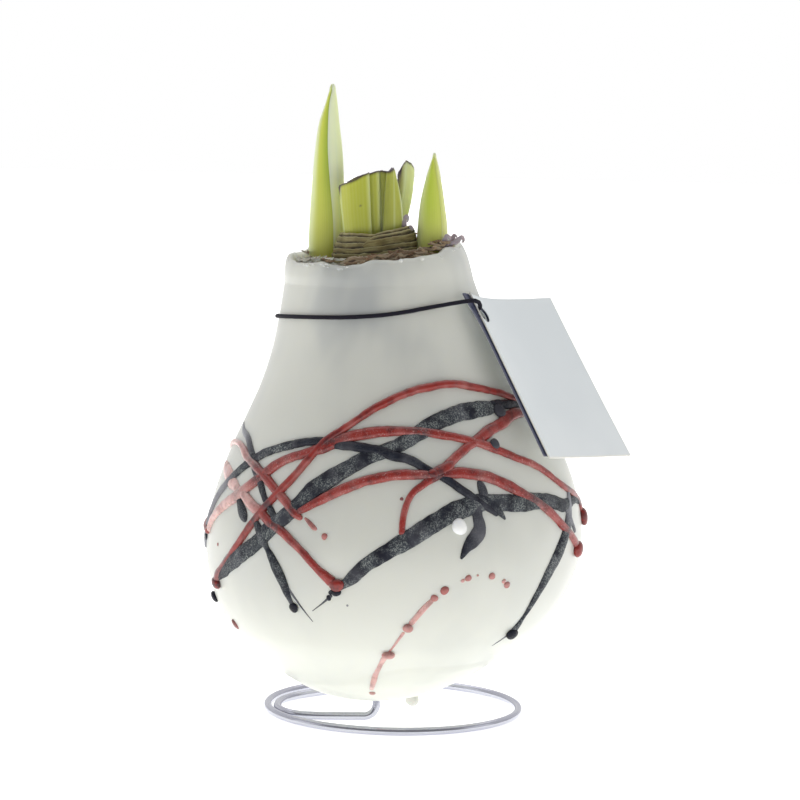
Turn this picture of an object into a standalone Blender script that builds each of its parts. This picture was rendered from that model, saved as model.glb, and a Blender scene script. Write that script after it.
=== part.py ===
"""A waxed amaryllis bulb on a wire ring, sprouting from its dry neck, with a card on an elastic.

Lengths in the lists below are in millimetres and angles in degrees. The camera side of the bulb
faces -Y. An angle round the bulb is 0 at the front and grows to the right, towards +X.
The origin is the middle of the object's box, on the surface that it stands on.
"""

import math

import bmesh
import bpy
import numpy as np
from mathutils import Matrix, Vector

MM = 0.001
GAP = 0.3
WELD = 0.000005

# The bulb's outline in wax, as radius and height, from the middle of its base to its neck
COAT_OUTLINE = ((0, 5.5), (8, 6.2), (14, 7.8), (20, 10.6), (26, 14.0), (32, 18.6), (37, 22.6),
                (40.4, 26.2), (44, 32), (46.6, 39), (47.8, 46.5), (47.2, 54), (45.2, 62), (42.2, 70),
                (38.2, 78), (33.9, 86), (29.8, 95), (26.2, 105), (23.8, 112))
# The bulb's own middle line, as height and sideways place: it leans to the left towards the neck
LEAN = ((5, -10.4), (35, -6.3), (65, -4.8), (90, -6.6), (118, -11.9))
WAX_THICK = 2.4
COAT_SIDES = 36
COAT_ROW = 6.5
INNER_ROW = 10.0
RIM_OUTLINE = ((23.3, 115.0), (22.3, 117.4), (21.2, 118.2), (20.2, 117.6), (19.9, 115.6))
RIM_FRONT_DROP = 2.4
RIM_RIGHT_RISE = 2.2
RIM_MEAN_RISE = 2.2
RIM_START = 108.0
RIM_TOP = 118.2

# The bare bulb inside the wax, and the dry scales that ring its cut neck
NECK_TOP = 116.2
NECK_RADIUS = 19.4
SCALE_TOPS = ((8.9, 125.4), (9.4, 123.5), (10.0, 121.6), (10.6, 119.8), (11.4, 118.2))
SCALE_LEDGE = 0.5
SCALE_TILT = 0.115
SCALE_DEPTH = 0.84
CROWN_Y = -1.5
POCKET_HALF_WIDTH = 8.2
POCKET_HALF_DEPTH = 5.8
POCKET_BOTTOM = 110.0
POCKET_X = -11.6

# The stand: one steel wire, a flat ring that runs inwards and turns up as a spike
WIRE_RADIUS = 1.05
RING_X = -4.5
RING_Y = 12.0
RING_RADIUS = 32.6
SPIKE_X = -8.9
SPIKE_Y = -2.2
SPIKE_TOP = 31.0
SPIKE_BEND = 3.2

# The card and the elastic that holds it at the neck
CARD_CORNER = (12.4, -15.5, 111.0)
CARD_ACROSS = (0.612, 0.788, -0.065)
CARD_DOWN = (0.416, -0.391, -0.821)
CARD_WIDTH = 35.0
CARD_HEIGHT = 47.5
CARD_THICK = 0.6
CARD_SPRING = 0.7
CARD_FOLD_GAP = 0.3
CARD_BACK_LIP = 0.9
HOLE_ACROSS = 3.0
HOLE_DOWN = 6.0
HOLE_RADIUS = 2.1
ELASTIC_RADIUS = 0.6
# Where the elastic runs round the neck, as angle and height
ELASTIC_ROUND = ((84, 104.6), (105, 104.0), (135, 103.4), (165, 103.0), (195, 102.8), (225, 102.7),
                 (250, 102.8), (270, 103.0), (288, 103.4), (306, 103.8), (324, 104.1), (341, 104.5),
                 (358, 105.1), (372, 106.0), (385, 107.0))
# Where it crosses the card, as distance across, distance down and height above the card's face
ELASTIC_AT_CARD = ((-3.2, 3.0, 0.3), (0.0, 3.7, 0.95), (1.4, 4.2, 1.0), (2.6, 4.9, 0.6), (3.3, 5.5, -0.3),
                   (3.5, 5.8, -1.3), (3.7, 5.9, -2.2), (4.7, 5.9, -2.75), (7.0, 5.7, -2.9), (10.0, 5.5, -3.6))

# Poured wax threads: colour, half width, and the route over the coat as angle and height.
# A drop at the end is the half width that the thread swells to.
THREADS = (
    ("red", 0.85, 1.35, (
        (-77, 49), (-92, 52), (-125, 59), (-160, 66), (-195, 73), (-230, 79), (-265, 83), (-299, 84.5),
        (-310, 86.5), (-322, 88), (-335, 89), (-347, 88), (-358, 86), (-368, 83), (-377, 79), (-384, 75.5),
        (-393, 67.5), (-402.5, 59.5), (-412, 49), (-417.5, 44), (-428, 37))),
    ("red", 0.8, 0.8, (
        (-77, 49), (-75, 52), (-67.5, 56.5), (-59, 60), (-50, 65.5), (-42, 69), (-34, 71.5), (-18, 76),
        (-2, 78), (14, 77.5), (30, 75), (45, 71), (62, 65), (69, 62.5), (82, 58), (90, 54), (96, 50))),
    ("red", 0.85, 1.5, (
        (-26, 61), (-16, 64.5), (-9, 66.5), (0, 68), (12.5, 68), (21, 68.5), (29, 67.5), (36, 65.5),
        (43.5, 62.5), (51.5, 59), (58.5, 55), (65.5, 51.5), (75, 47.5))),
    ("red", 0.8, 0.9, (
        (122, 72), (105, 75), (88, 78), (72, 80.5), (58, 81), (44.5, 79.5), (35, 77), (27, 75), (18, 71),
        (9, 66.5), (4, 63), (2, 58.5), (1.5, 54.5))),
    ("red", 0.85, 0.6, (
        (-100, 68), (-84, 71.5), (-69.5, 72), (-61, 70), (-52, 67.5), (-41.5, 64), (-34, 59.5), (-28, 56.5))),
    ("red", 0.9, 1.7, (
        (-56, 60), (-49, 58), (-40.5, 55), (-32, 51.5), (-22, 45), (-15.5, 41))),
    ("red", 0.45, 0.9, (
        (16, 40.5), (10.5, 36), (7, 31.5), (3, 24.5), (0, 20), (-1.5, 14.5), (-1.5, 11))),
    ("navy", 1.45, 0.9, (
        (-81, 47.5), (-96, 45.5), (-125, 49), (-160, 57), (-195, 66), (-230, 74), (-265, 80), (-298, 83),
        (-311.5, 83.5), (-329.5, 82.5), (-344.5, 80.5), (-352, 77.5), (-364, 73), (-375, 68.5), (-386.5, 63),
        (-394, 56.5), (-404, 48.5), (-412, 43.5), (-426, 38))),
    ("navy", 1.05, 0.8, (
        (-81, 47.5), (-84, 51), (-78, 55.5), (-74, 59.5), (-68, 63), (-60.5, 67), (-53.5, 70), (-46.5, 72),
        (-37, 74), (-28, 75), (-13, 74), (-1.5, 72.5), (10.5, 69), (21.5, 64), (32, 58))),
    ("navy", 1.4, 0.5, (
        (104, 52), (88, 57.5), (74, 60), (57, 60.5), (38, 60.5), (24.5, 61), (11.5, 56.5), (1.5, 52), (-8, 46.5),
        (-15, 41), (-21.5, 36))),
    ("navy", 1.0, 1.1, (
        (-128, 67), (-106, 73), (-88, 75.5), (-66, 73.5), (-57, 69.5), (-49, 64), (-40.5, 57.5), (-36.5, 54),
        (-40.5, 51.5), (-37.5, 47), (-35, 43.5), (-31, 38), (-29, 35))),
    ("navy", 1.15, 0.7, ((27.5, 65.5), (28, 61), (26, 56), (22, 52), (18.5, 48.5))),
    ("navy", 0.95, 1.2, (
        (68, 60), (65, 55), (58, 49), (54, 45), (51.5, 40), (49, 35), (47, 30.5), (47.5, 27))),
    ("red", 0.75, 1.3, ((140, 66), (150, 61), (158, 52), (162, 42), (164, 36))),
    ("navy", 0.95, 1.4, ((-150, 60), (-158, 54), (-163, 46), (-165, 38), (-165, 34))),
    ("navy", 0.9, 1.3, ((196, 70), (203, 63), (206, 54), (207, 47))),
)
# Loose drops on the coat: colour, radius, angle, height
DROPS = (
    ("red", 0.8, -24.5, 55.5), ("red", 0.9, -21, 53), ("red", 0.9, 16, 40.5), ("red", 0.8, 22.5, 43),
    ("red", 0.8, 30.5, 43), ("red", 0.9, 37, 41), ("red", 0.9, -66.5, 26.5), ("red", 1.0, 5, 28.5),
    ("navy", 1.1, -54.5, 56.5), ("navy", 0.9, 36, 74.5), ("navy", 1.3, -82, 32.5), ("wax", 1.7, 18.5, 55.5),
)
DROP_SINK = 0.35
THREAD_STEP = 5.0
THREAD_FOOT_FLAT = 0.42

# The sprouts: two leaves pressed face to face in each. Height, left edge, right edge, half depth, seam
TALL_SPROUT = ((108.5, -27.2, -19.6, 2.8, -22.6), (114, -28.0, -19.4, 3.0, -22.5), (121, -28.6, -19.3, 3.1, -22.2),
               (128, -28.5, -19.5, 3.1, -22.0), (136, -28.1, -19.8, 3.0, -22.9), (145, -27.5, -20.4, 2.6, -23.9),
               (152, -26.6, -21.3, 2.1, -24.1), (157, -25.1, -21.9, 1.5, -24.0), (160.5, -24.1, -22.4, 0.9, -23.4))
TALL_TIP = (-23.2, 162.2)
TALL_Y = 4.5
SHORT_SPROUT = ((109, -1.8, 5.0, 3.0, 3.4), (115, -1.6, 5.6, 3.3, 4.0), (120, -1.2, 6.5, 3.5, 5.0),
                (126, -1.0, 6.6, 3.4, 5.1), (132, -0.5, 5.8, 3.0, 4.6), (137, 0.4, 5.0, 2.4, 3.9),
                (141.5, 1.6, 4.1, 1.5, 3.1), (144, 2.4, 3.4, 0.8, 2.8))
SHORT_TIP = (2.9, 145.3)
SHORT_Y = -2.3
SEAM_GAP = 0.3
SPROUT_HALF_POINTS = 8

# The cut leaf bases in the neck. Each is a bent sheet: its plan where it stands and at the top, as
# x and y from one edge to the other, then the heights along its cut, its thickness, and how late
# it bends from the one plan to the other on its way up.
CUT_SHEETS = {
    "cut_leaf_front": (((-12.0, 2.4), (-16.2, 1.9), (-18.4, -1.0), (-16.4, -4.3), (-12.0, -5.5)),
                       ((-14.0, 2.0), (-18.6, 1.6), (-20.6, -1.2), (-18.2, -4.6), (-13.4, -6.0)),
                       (139.4, 137.3, 136.4, 137.6, 139.9), 1.2, 0.7),
    "cut_leaf_second": (((-11.0, 1.0), (-15.0, 0.6), (-16.8, -1.2), (-14.6, -3.4), (-10.1, -4.2)),
                        ((-11.5, 0.9), (-16.4, 0.5), (-18.6, -1.3), (-15.9, -3.8), (-10.9, -4.7)),
                        (139.2, 137.6, 137.0, 138.2, 140.2), 1.1, 1.0),
    "cut_leaf_inner": (((-13.6, -2.3), (-11.8, -2.8), (-10.2, -2.7), (-8.6, -2.3), (-7.2, -1.9)),
                       ((-13.6, -2.3), (-11.8, -2.9), (-10.2, -2.9), (-9.2, -2.5), (-8.7, -2.1)),
                       (139.2, 139.8, 140.2, 140.4, 140.2), 1.0, 1.0),
    "cut_leaf_right": (((-8.0, -4.2), (-6.6, -4.3), (-5.2, -3.2), (-4.9, -1.4), (-5.6, -0.2)),
                       ((-8.2, -4.6), (-7.9, -3.9), (-7.7, -2.9), (-7.8, -1.7), (-8.2, -0.6)),
                       (140.2, 140.9, 141.1, 140.6, 139.8), 1.0, 3.0),
    "cut_leaf_back": (((-9.2, 2.3), (-8.3, 2.4), (-7.4, 2.2), (-6.6, 1.8), (-6.0, 1.2)),
                      ((-5.6, 3.4), (-5.0, 2.4), (-4.0, 1.9), (-3.0, 2.2), (-2.4, 3.2)),
                      (137.4, 139.6, 142.8, 142.3, 140.4), 0.9, 1.5),
}
SHEET_FOOT = 110.6
SHEET_BEND_START = 122.0
SHEET_POINTS = 11
SHEET_ROWS = 6

COLOURS = {
    "wax": ((0.80, 0.80, 0.74), 0.35, 0.0),
    "red": ((0.42, 0.05, 0.05), 0.35, 0.0),
    "navy": ((0.035, 0.045, 0.075), 0.45, 0.0),
    "dry scale": ((0.22, 0.14, 0.06), 0.85, 0.0),
    "leaf green": ((0.42, 0.50, 0.09), 0.45, 0.0),
    "pale leaf": ((0.62, 0.68, 0.34), 0.5, 0.0),
    "steel": ((0.35, 0.36, 0.38), 0.3, 1.0),
    "elastic": ((0.02, 0.02, 0.05), 0.7, 0.0),
    "card": ((0.60, 0.63, 0.65), 0.4, 0.0),
}


def clear_scene():
    """Remove every object that the file opened with."""
    for obj in list(bpy.data.objects):
        bpy.data.objects.remove(obj, do_unlink=True)


def collection(name):
    """A new collection under the scene."""
    made = bpy.data.collections.new(name)
    bpy.context.scene.collection.children.link(made)
    return made


def material(name):
    """The named finish as a Principled material, made once."""
    found = bpy.data.materials.get(name)
    if found:
        return found
    colour, roughness, metallic = COLOURS[name]
    made = bpy.data.materials.new(name)
    made.use_nodes = True
    shader = made.node_tree.nodes["Principled BSDF"]
    shader.inputs["Base Color"].default_value = (*colour, 1.0)
    shader.inputs["Roughness"].default_value = roughness
    shader.inputs["Metallic"].default_value = metallic
    made.diffuse_color = (*colour, 1.0)
    return made


def add(name, data, finish, where):
    """Put a mesh or curve in the scene as a named object with one finish."""
    obj = bpy.data.objects.new(name, data)
    where.objects.link(obj)
    if not data.materials:
        data.materials.append(material(finish))
    return obj


def as_guide(obj):
    """Mark an object as a tool that shapes others and isn't part of the model."""
    obj.hide_render = True
    obj.display_type = "WIRE"
    return obj


def smooth(points, step, closed=False):
    """Points about one step apart on the Catmull-Rom curve through the given points."""
    pts = np.array(points, float)
    ends = np.vstack([2 * pts[0] - pts[1], pts, 2 * pts[-1] - pts[-2]])
    if closed:
        ends = np.vstack([pts[-1], pts, pts[:2]])
    out = []
    for a, b, c, d in zip(ends[:-3], ends[1:-2], ends[2:-1], ends[3:]):
        count = max(1, round(float(np.linalg.norm(c - b)) / step))
        t = (np.arange(count) / count)[:, None]
        out.append(0.5 * (2 * b + (c - a) * t + (2 * a - 5 * b + 4 * c - d) * t**2
                          + (3 * b - a - 3 * c + d) * t**3))
    return np.vstack(out if closed else out + [pts[-1:]])


FINE_OUTLINE = smooth(COAT_OUTLINE, 1.0)
LEAN_CURVE = np.polyfit(*np.array(LEAN, float).T, 4)


def coat_radius(height):
    """The wax's outer radius at a height."""
    return np.interp(height, FINE_OUTLINE[:, 1], FINE_OUTLINE[:, 0])


def lean_x(height):
    """The sideways place of the bulb's middle line at a height."""
    return np.polyval(LEAN_CURVE, height)


def coat_point(angle, height, out=0.0):
    """A point on the wax at an angle in degrees and a height, or a distance out from it."""
    turn = np.radians(angle)
    slope = (coat_radius(height + 0.5) - coat_radius(height - 0.5)) / 1.0
    tilt = 1 / np.hypot(1, slope)
    reach = coat_radius(height) + out * tilt
    return np.stack([lean_x(height) + reach * np.sin(turn), -reach * np.cos(turn),
                     height - out * slope * tilt], -1)


def offset_outline(outline, inwards):
    """An outline moved inwards, square to itself, with its first point kept on the axis."""
    along = np.gradient(outline, axis=0)
    along /= np.linalg.norm(along, axis=1)[:, None]
    along[0] = (1, 0)
    moved = outline + inwards * np.stack([-along[:, 1], along[:, 0]], 1)
    moved[0, 0] = 0.0
    return moved


def spread(outline, step):
    """Points about one step apart along an outline."""
    run = np.concatenate([[0], np.cumsum(np.linalg.norm(np.diff(outline, axis=0), axis=1))])
    places = np.linspace(0, run[-1], max(3, round(run[-1] / step) + 1))
    return np.stack([np.interp(places, run, outline[:, 0]), np.interp(places, run, outline[:, 1])], 1)


def realised(obj, where):
    """Swap an object for one whose mesh is what its modifiers or curve settings made."""
    graph = bpy.context.evaluated_depsgraph_get()
    mesh = bpy.data.meshes.new_from_object(obj.evaluated_get(graph), depsgraph=graph)
    place = obj.matrix_world.copy()
    name = obj.name
    bpy.data.objects.remove(obj, do_unlink=True)
    made = bpy.data.objects.new(name, mesh)
    where.objects.link(made)
    made.matrix_world = place
    return made


def welded(obj):
    """Join a mesh's doubled points, such as those of a tube's loose caps, and face it outwards."""
    shape = bmesh.new()
    shape.from_mesh(obj.data)
    bmesh.ops.remove_doubles(shape, verts=shape.verts, dist=WELD)
    bmesh.ops.recalc_face_normals(shape, faces=shape.faces)
    shape.to_mesh(obj.data)
    shape.free()
    return obj


def turned(name, outline, finish, where, sides=COAT_SIDES):
    """A solid of revolution from an outline that runs down its outer side."""
    mesh = bpy.data.meshes.new(name)
    points = [(r * MM, 0, z * MM) for r, z in outline]
    mesh.from_pydata(points, [(i, i + 1) for i in range(len(points) - 1)], [])
    obj = add(name, mesh, finish, where)
    screw = obj.modifiers.new("turn", "SCREW")
    screw.steps = sides
    screw.render_steps = sides
    screw.use_merge_vertices = True
    screw.merge_threshold = 0.00001
    return realised(obj, where)


def moved_by(obj, rule):
    """Move a mesh's points by a rule that takes and gives x, y and z in millimetres."""
    mesh = obj.data
    flat = np.empty(len(mesh.vertices) * 3, np.float32)
    mesh.vertices.foreach_get("co", flat)
    points = flat.reshape(-1, 3).astype(float) / MM
    mesh.vertices.foreach_set("co", (rule(points) * MM).astype(np.float32).ravel())
    mesh.update()
    return obj


def ease(x):
    """A smooth step from 0 to 1."""
    t = np.clip(x, 0, 1)
    return t * t * (3 - 2 * t)


def rim_rise(turn):
    """How far the wax rim stands above its lowest mean line at an angle in radians."""
    torn = 0.35 * np.sin(7 * turn + 0.6) + 0.25 * np.sin(11 * turn + 2.0)
    return RIM_MEAN_RISE - RIM_FRONT_DROP * np.cos(turn) + RIM_RIGHT_RISE * np.sin(turn) + torn


def rim_lift(turn, height):
    """How far a point near the neck's end is raised, so that the rim slopes and is ragged."""
    return rim_rise(turn) * ease((height - RIM_START) / (RIM_TOP - RIM_START))


def lean_coat(points):
    """Lean a turned shape with the bulb and raise its rim to the back and right."""
    x, y, z = points.T
    turn = np.arctan2(x, -y)
    return np.stack([x + lean_x(z), y, z + rim_lift(turn, z)], 1)


def lean_bulb(points):
    """Lean the bare bulb like its coat, and tilt and flatten the rings of dry scales."""
    x, y, z = points.T
    turn = np.arctan2(x, -y)
    crown = ease((z - NECK_TOP) / 1.5)
    torn = 0.22 * np.sin(5 * turn + 1.7 * z) + 0.15 * np.sin(9 * turn + 0.9 * z)
    lift = rim_lift(turn, z) * (1 - crown) + crown * (SCALE_TILT * x + torn)
    y = y * (1 - (1 - SCALE_DEPTH) * crown) + CROWN_Y * crown
    return np.stack([x + lean_x(np.minimum(z, NECK_TOP)), y, z + lift], 1)


def tube(name, points, radius, finish, where, sizes=None, resolution=2, cyclic=False, tilt=0.0):
    """A round tube along points, each with its own size, as a welded mesh."""
    curve = bpy.data.curves.new(name, "CURVE")
    curve.dimensions = "3D"
    curve.bevel_depth = radius * MM
    curve.bevel_resolution = resolution
    curve.use_fill_caps = not cyclic
    line = curve.splines.new("POLY")
    line.points.add(len(points) - 1)
    line.use_cyclic_u = cyclic
    for k, point in enumerate(points):
        line.points[k].co = (*(Vector(point) * MM), 1.0)
        line.points[k].radius = 1.0 if sizes is None else float(sizes[k])
        line.points[k].tilt = tilt
    return welded(realised(add(name, curve, finish, where), where))


def closed_loft(name, rings, finish, where):
    """A closed solid through rings of equal point counts, with flat ends."""
    rings = np.array(rings, float)
    levels, around = rings.shape[:2]
    faces = []
    for i in range(levels - 1):
        for j in range(around):
            k = (j + 1) % around
            faces.append((i * around + j, i * around + k, (i + 1) * around + k, (i + 1) * around + j))
    faces.append(tuple(reversed(range(around))))
    faces.append(tuple((levels - 1) * around + j for j in range(around)))
    mesh = bpy.data.meshes.new(name)
    mesh.from_pydata([tuple(p) for p in (rings * MM).reshape(-1, 3)], [], faces)
    return welded(add(name, mesh, finish, where))


def combine(obj, others, operation, where):
    """Join an object with others, or cut them from it, and remove the others."""
    group = bpy.data.collections.new("used")
    bpy.context.scene.collection.children.link(group)
    for other in others:
        for owner in list(other.users_collection):
            owner.objects.unlink(other)
        group.objects.link(other)
    step = obj.modifiers.new(operation.lower(), "BOOLEAN")
    step.operand_type = "COLLECTION"
    step.collection = group
    step.operation = operation
    step.solver = "MANIFOLD"
    step.material_mode = "TRANSFER"
    done = realised(obj, where)
    for other in list(group.objects):
        bpy.data.objects.remove(other, do_unlink=True)
    bpy.data.collections.remove(group)
    return done


def shade(obj):
    """Shade a round piece smooth, keeping its real edges."""
    obj.data.shade_smooth()
    obj.data.set_sharp_from_angle(angle=math.radians(40))
    return obj


def thread_tube(index, where):
    """One poured thread as a tube that lies mostly on the coat, swelling to a drop at its end."""
    finish, half, drop, route = THREADS[index]
    on_coat = np.array(route, float)
    flat = np.stack([on_coat[:, 0] * math.radians(1) * 46, on_coat[:, 1]], 1)
    fine = smooth(flat, THREAD_STEP)
    angle, height = np.degrees(fine[:, 0] / 46), fine[:, 1]
    left = np.linspace(len(fine) - 1, 0, len(fine))
    swell = 1 + (drop / half - 1) * np.exp(-((left / 0.9) ** 2))
    sink = half * THREAD_FOOT_FLAT
    points = coat_point(angle, height, -sink)
    return tube(f"thread {index}", points, half, finish, where, sizes=swell, resolution=1)


def drop_ball(index, where):
    """One loose drop: a ball sunk into the coat."""
    finish, radius, angle, height = DROPS[index]
    bpy.ops.mesh.primitive_uv_sphere_add(segments=8, ring_count=6, radius=radius * MM)
    ball = bpy.context.object
    ball.name = f"drop {index}"
    ball.location = Vector(coat_point(angle, height, -radius * DROP_SINK)) * MM
    ball.rotation_euler = (0.3, 0.2, math.radians(angle))
    ball.data.materials.append(material(finish))
    for owner in list(ball.users_collection):
        owner.objects.unlink(ball)
    where.objects.link(ball)
    return ball


def spike_hole(where):
    """The tool that bores the spike's hole through the wax and into the bulb."""
    bpy.ops.mesh.primitive_cylinder_add(vertices=12, radius=(WIRE_RADIUS + GAP) * MM, depth=(SPIKE_TOP + GAP) * MM,
                                        location=(SPIKE_X * MM, SPIKE_Y * MM, (SPIKE_TOP + GAP) / 2 * MM))
    hole = bpy.context.object
    hole.name = "spike hole"
    for owner in list(hole.users_collection):
        owner.objects.unlink(hole)
    where.objects.link(hole)
    return as_guide(hole)


def make_coat(parts, tools):
    """The wax coat: a cup over the whole bulb, open at the neck, with its poured threads fused on."""
    body = spread(FINE_OUTLINE, COAT_ROW)
    inner = offset_outline(spread(FINE_OUTLINE, INNER_ROW), WAX_THICK)
    rim = smooth(RIM_OUTLINE, 1.6)
    outline = np.vstack([inner, rim[::-1], body[::-1]])
    coat = moved_by(turned("wax_coat", outline, "wax", parts), lean_coat)
    extras = [thread_tube(i, tools) for i in range(len(THREADS))]
    extras += [drop_ball(i, tools) for i in range(len(DROPS))]
    coat = combine(coat, extras, "UNION", parts)
    return shade(combine(coat, [spike_hole(tools)], "DIFFERENCE", parts))


def sprout_ring(level, y_mid, side, grow=0.0):
    """One level of a sprout's left or right leaf, or with side 0 its whole outline."""
    height, left, right, depth, seam = level
    middle, half = (left + right) / 2, (right - left) / 2 + grow
    deep = depth + grow
    if side == 0:
        turn = np.linspace(0, 2 * math.pi, 2 * SPROUT_HALF_POINTS, endpoint=False)
        return np.stack([middle + half * np.cos(turn), y_mid + deep * np.sin(turn), 0 * turn + height], 1)
    cut = np.clip((seam + side * SEAM_GAP / 2 - middle) / half, -0.92, 0.92)
    start = math.acos(cut)
    turn = np.linspace(start, 2 * math.pi - start, SPROUT_HALF_POINTS)
    if side > 0:
        turn = np.linspace(-start, start, SPROUT_HALF_POINTS)
    squash = 1.0 if side < 0 else 0.9
    return np.stack([middle + half * np.cos(turn), y_mid + squash * deep * np.sin(turn), 0 * turn + height], 1)


def make_sprout(name, levels, tip, y_mid, parts):
    """A sprout of two leaves that lie face to face, each its own solid."""
    leaves = []
    for side, word, finish in ((-1, "left", "leaf green"), (1, "right", "pale leaf")):
        rings = [sprout_ring(level, y_mid, side) for level in levels]
        last = rings[-1]
        point = np.array([tip[0] + side * 0.35, y_mid, tip[1]])
        rings.append(point + (last - last.mean(0)) * 0.35)
        leaves.append(shade(closed_loft(f"{name}_leaf_{word}", rings, finish, parts)))
    return leaves


def sprout_hole(name, levels, y_mid, tools):
    """The tool that cuts a sprout's plain hole in the neck, open at the top."""
    rings = [sprout_ring(levels[0], y_mid, 0, GAP)]
    rings[0][:, 2] -= GAP
    rings += [sprout_ring(level, y_mid, 0, GAP) for level in levels[1:6]]
    return as_guide(closed_loft(name, rings, "wax", tools))


def pocket(tools):
    """The tool that cuts the oval pocket where the cut leaf bases stand."""
    turn = np.linspace(0, 2 * math.pi, 20, endpoint=False)
    ring = np.stack([POCKET_X + POCKET_HALF_WIDTH * np.cos(turn), CROWN_Y + POCKET_HALF_DEPTH * np.sin(turn)], 1)
    rings = [np.column_stack([ring, np.full(len(ring), height)]) for height in (POCKET_BOTTOM, 150)]
    return as_guide(closed_loft("neck pocket", rings, "wax", tools))


def make_bulb(parts, tools):
    """The bare bulb in its wax, with ragged dry scales ringing the neck and holes for what grows out."""
    body = offset_outline(spread(FINE_OUTLINE, INNER_ROW), WAX_THICK + GAP)
    crown = [(0, SCALE_TOPS[0][1] - 0.4)]
    for (radius, height), (_, below) in zip(SCALE_TOPS, SCALE_TOPS[1:] + ((0, NECK_TOP + 0.6),)):
        crown += [(radius - SCALE_LEDGE, height), (radius, height - 0.2), (radius + 0.1, below + 0.1)]
    neck = [(NECK_RADIUS - 0.8, NECK_TOP), (NECK_RADIUS, NECK_TOP - 0.8)]
    outline = np.vstack([np.array(crown + neck, float), body[::-1]])
    bulb = moved_by(turned("bulb", outline, "dry scale", parts), lean_bulb)
    cuts = [sprout_hole("tall hole", TALL_SPROUT, TALL_Y, tools),
            sprout_hole("short hole", SHORT_SPROUT, SHORT_Y, tools), pocket(tools), spike_hole(tools)]
    return shade(combine(bulb, cuts, "DIFFERENCE", parts))


def make_cut_sheet(name, parts):
    """A cut leaf base: a bent sheet, open at one side, that ends in a sloping cut."""
    foot, top, cut, thick, late = CUT_SHEETS[name]
    pick = np.linspace(0, 1, SHEET_POINTS)
    plans = []
    for plan in (smooth(foot, 1.0), smooth(top, 1.0)):
        run = np.linspace(0, 1, len(plan))
        plans.append(np.stack([np.interp(pick, run, plan[:, 0]), np.interp(pick, run, plan[:, 1])], 1))
    cut = np.interp(pick, np.linspace(0, 1, len(cut)), cut)
    rings = []
    for up in np.concatenate([[-1], np.linspace(0, 1, SHEET_ROWS)]):
        plan = plans[0] + (plans[1] - plans[0]) * max(up, 0) ** late
        along = np.gradient(plan, axis=0)
        along /= np.linalg.norm(along, axis=1)[:, None]
        side = np.stack([along[:, 1], -along[:, 0]], 1) * thick / 2
        height = np.full(len(plan), SHEET_FOOT)
        if up >= 0:
            height = SHEET_BEND_START + (cut - SHEET_BEND_START) * up
        outer = np.column_stack([plan + side, height])
        inner = np.column_stack([plan - side, height])
        rings.append(np.vstack([outer, inner[::-1]]))
    return shade(closed_loft(name, rings, "pale leaf", parts))


def make_stand(parts):
    """The wire stand: spike, run out to the left, a turn inside, then the whole ring."""
    low = WIRE_RADIUS * math.cos(math.pi / 8)
    bend = [(SPIKE_X - SPIKE_BEND * (1 - math.cos(a)), SPIKE_Y, low + SPIKE_BEND * (1 - math.sin(a)))
            for a in np.linspace(0, math.pi / 2, 5)]
    spike = [(SPIKE_X, SPIKE_Y, SPIKE_TOP), (SPIKE_X, SPIKE_Y, SPIKE_TOP - 1.5), (SPIKE_X, SPIKE_Y, 16)]
    inward = ((-9.8, -14.3), (-19.8, -14.9), (-25.6, -13.2), (-29.4, -7.8), (-30.2, -1), (-29.0, 5.5),
              (-25.4, 11.4), (-19.5, 17.0), (-10.5, 24.2), (0.5, 30.0), (8.6, RING_RADIUS * 0.966))
    inner = [(RING_X + x, RING_Y + y) for x, y in inward]
    start = [(SPIKE_X - SPIKE_BEND - 1.0, SPIKE_Y)]
    turn = np.radians(np.arange(68, -252, -6.0))
    reach = RING_RADIUS + 0.35 * np.clip((-np.degrees(turn) - 120) / 60, 0, 1)
    ring = np.stack([RING_X + reach * np.cos(turn), RING_Y + reach * np.sin(turn)], 1)
    flat = smooth(start + inner, 4.0)
    flat = np.vstack([flat[:-1], ring])
    level = np.column_stack([flat, np.full(len(flat), low)])
    route = np.vstack([spike, bend, level])
    sizes = np.ones(len(route))
    sizes[0] = 0.45
    return shade(tube("wire_stand", route, WIRE_RADIUS, "steel", parts, sizes=sizes, tilt=math.pi / 8))


def card_frame():
    """The card's own axes: across, down, and out of its face."""
    across = Vector(CARD_ACROSS).normalized()
    down = Vector(CARD_DOWN)
    down = (down - across * down.dot(across)).normalized()
    return across, down, down.cross(across)


def on_card(across_by, down_by, out_by):
    """A point given by the card's own axes from its top left corner."""
    across, down, out = card_frame()
    return Vector(CARD_CORNER) + across * across_by + down * down_by + out * out_by


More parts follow.
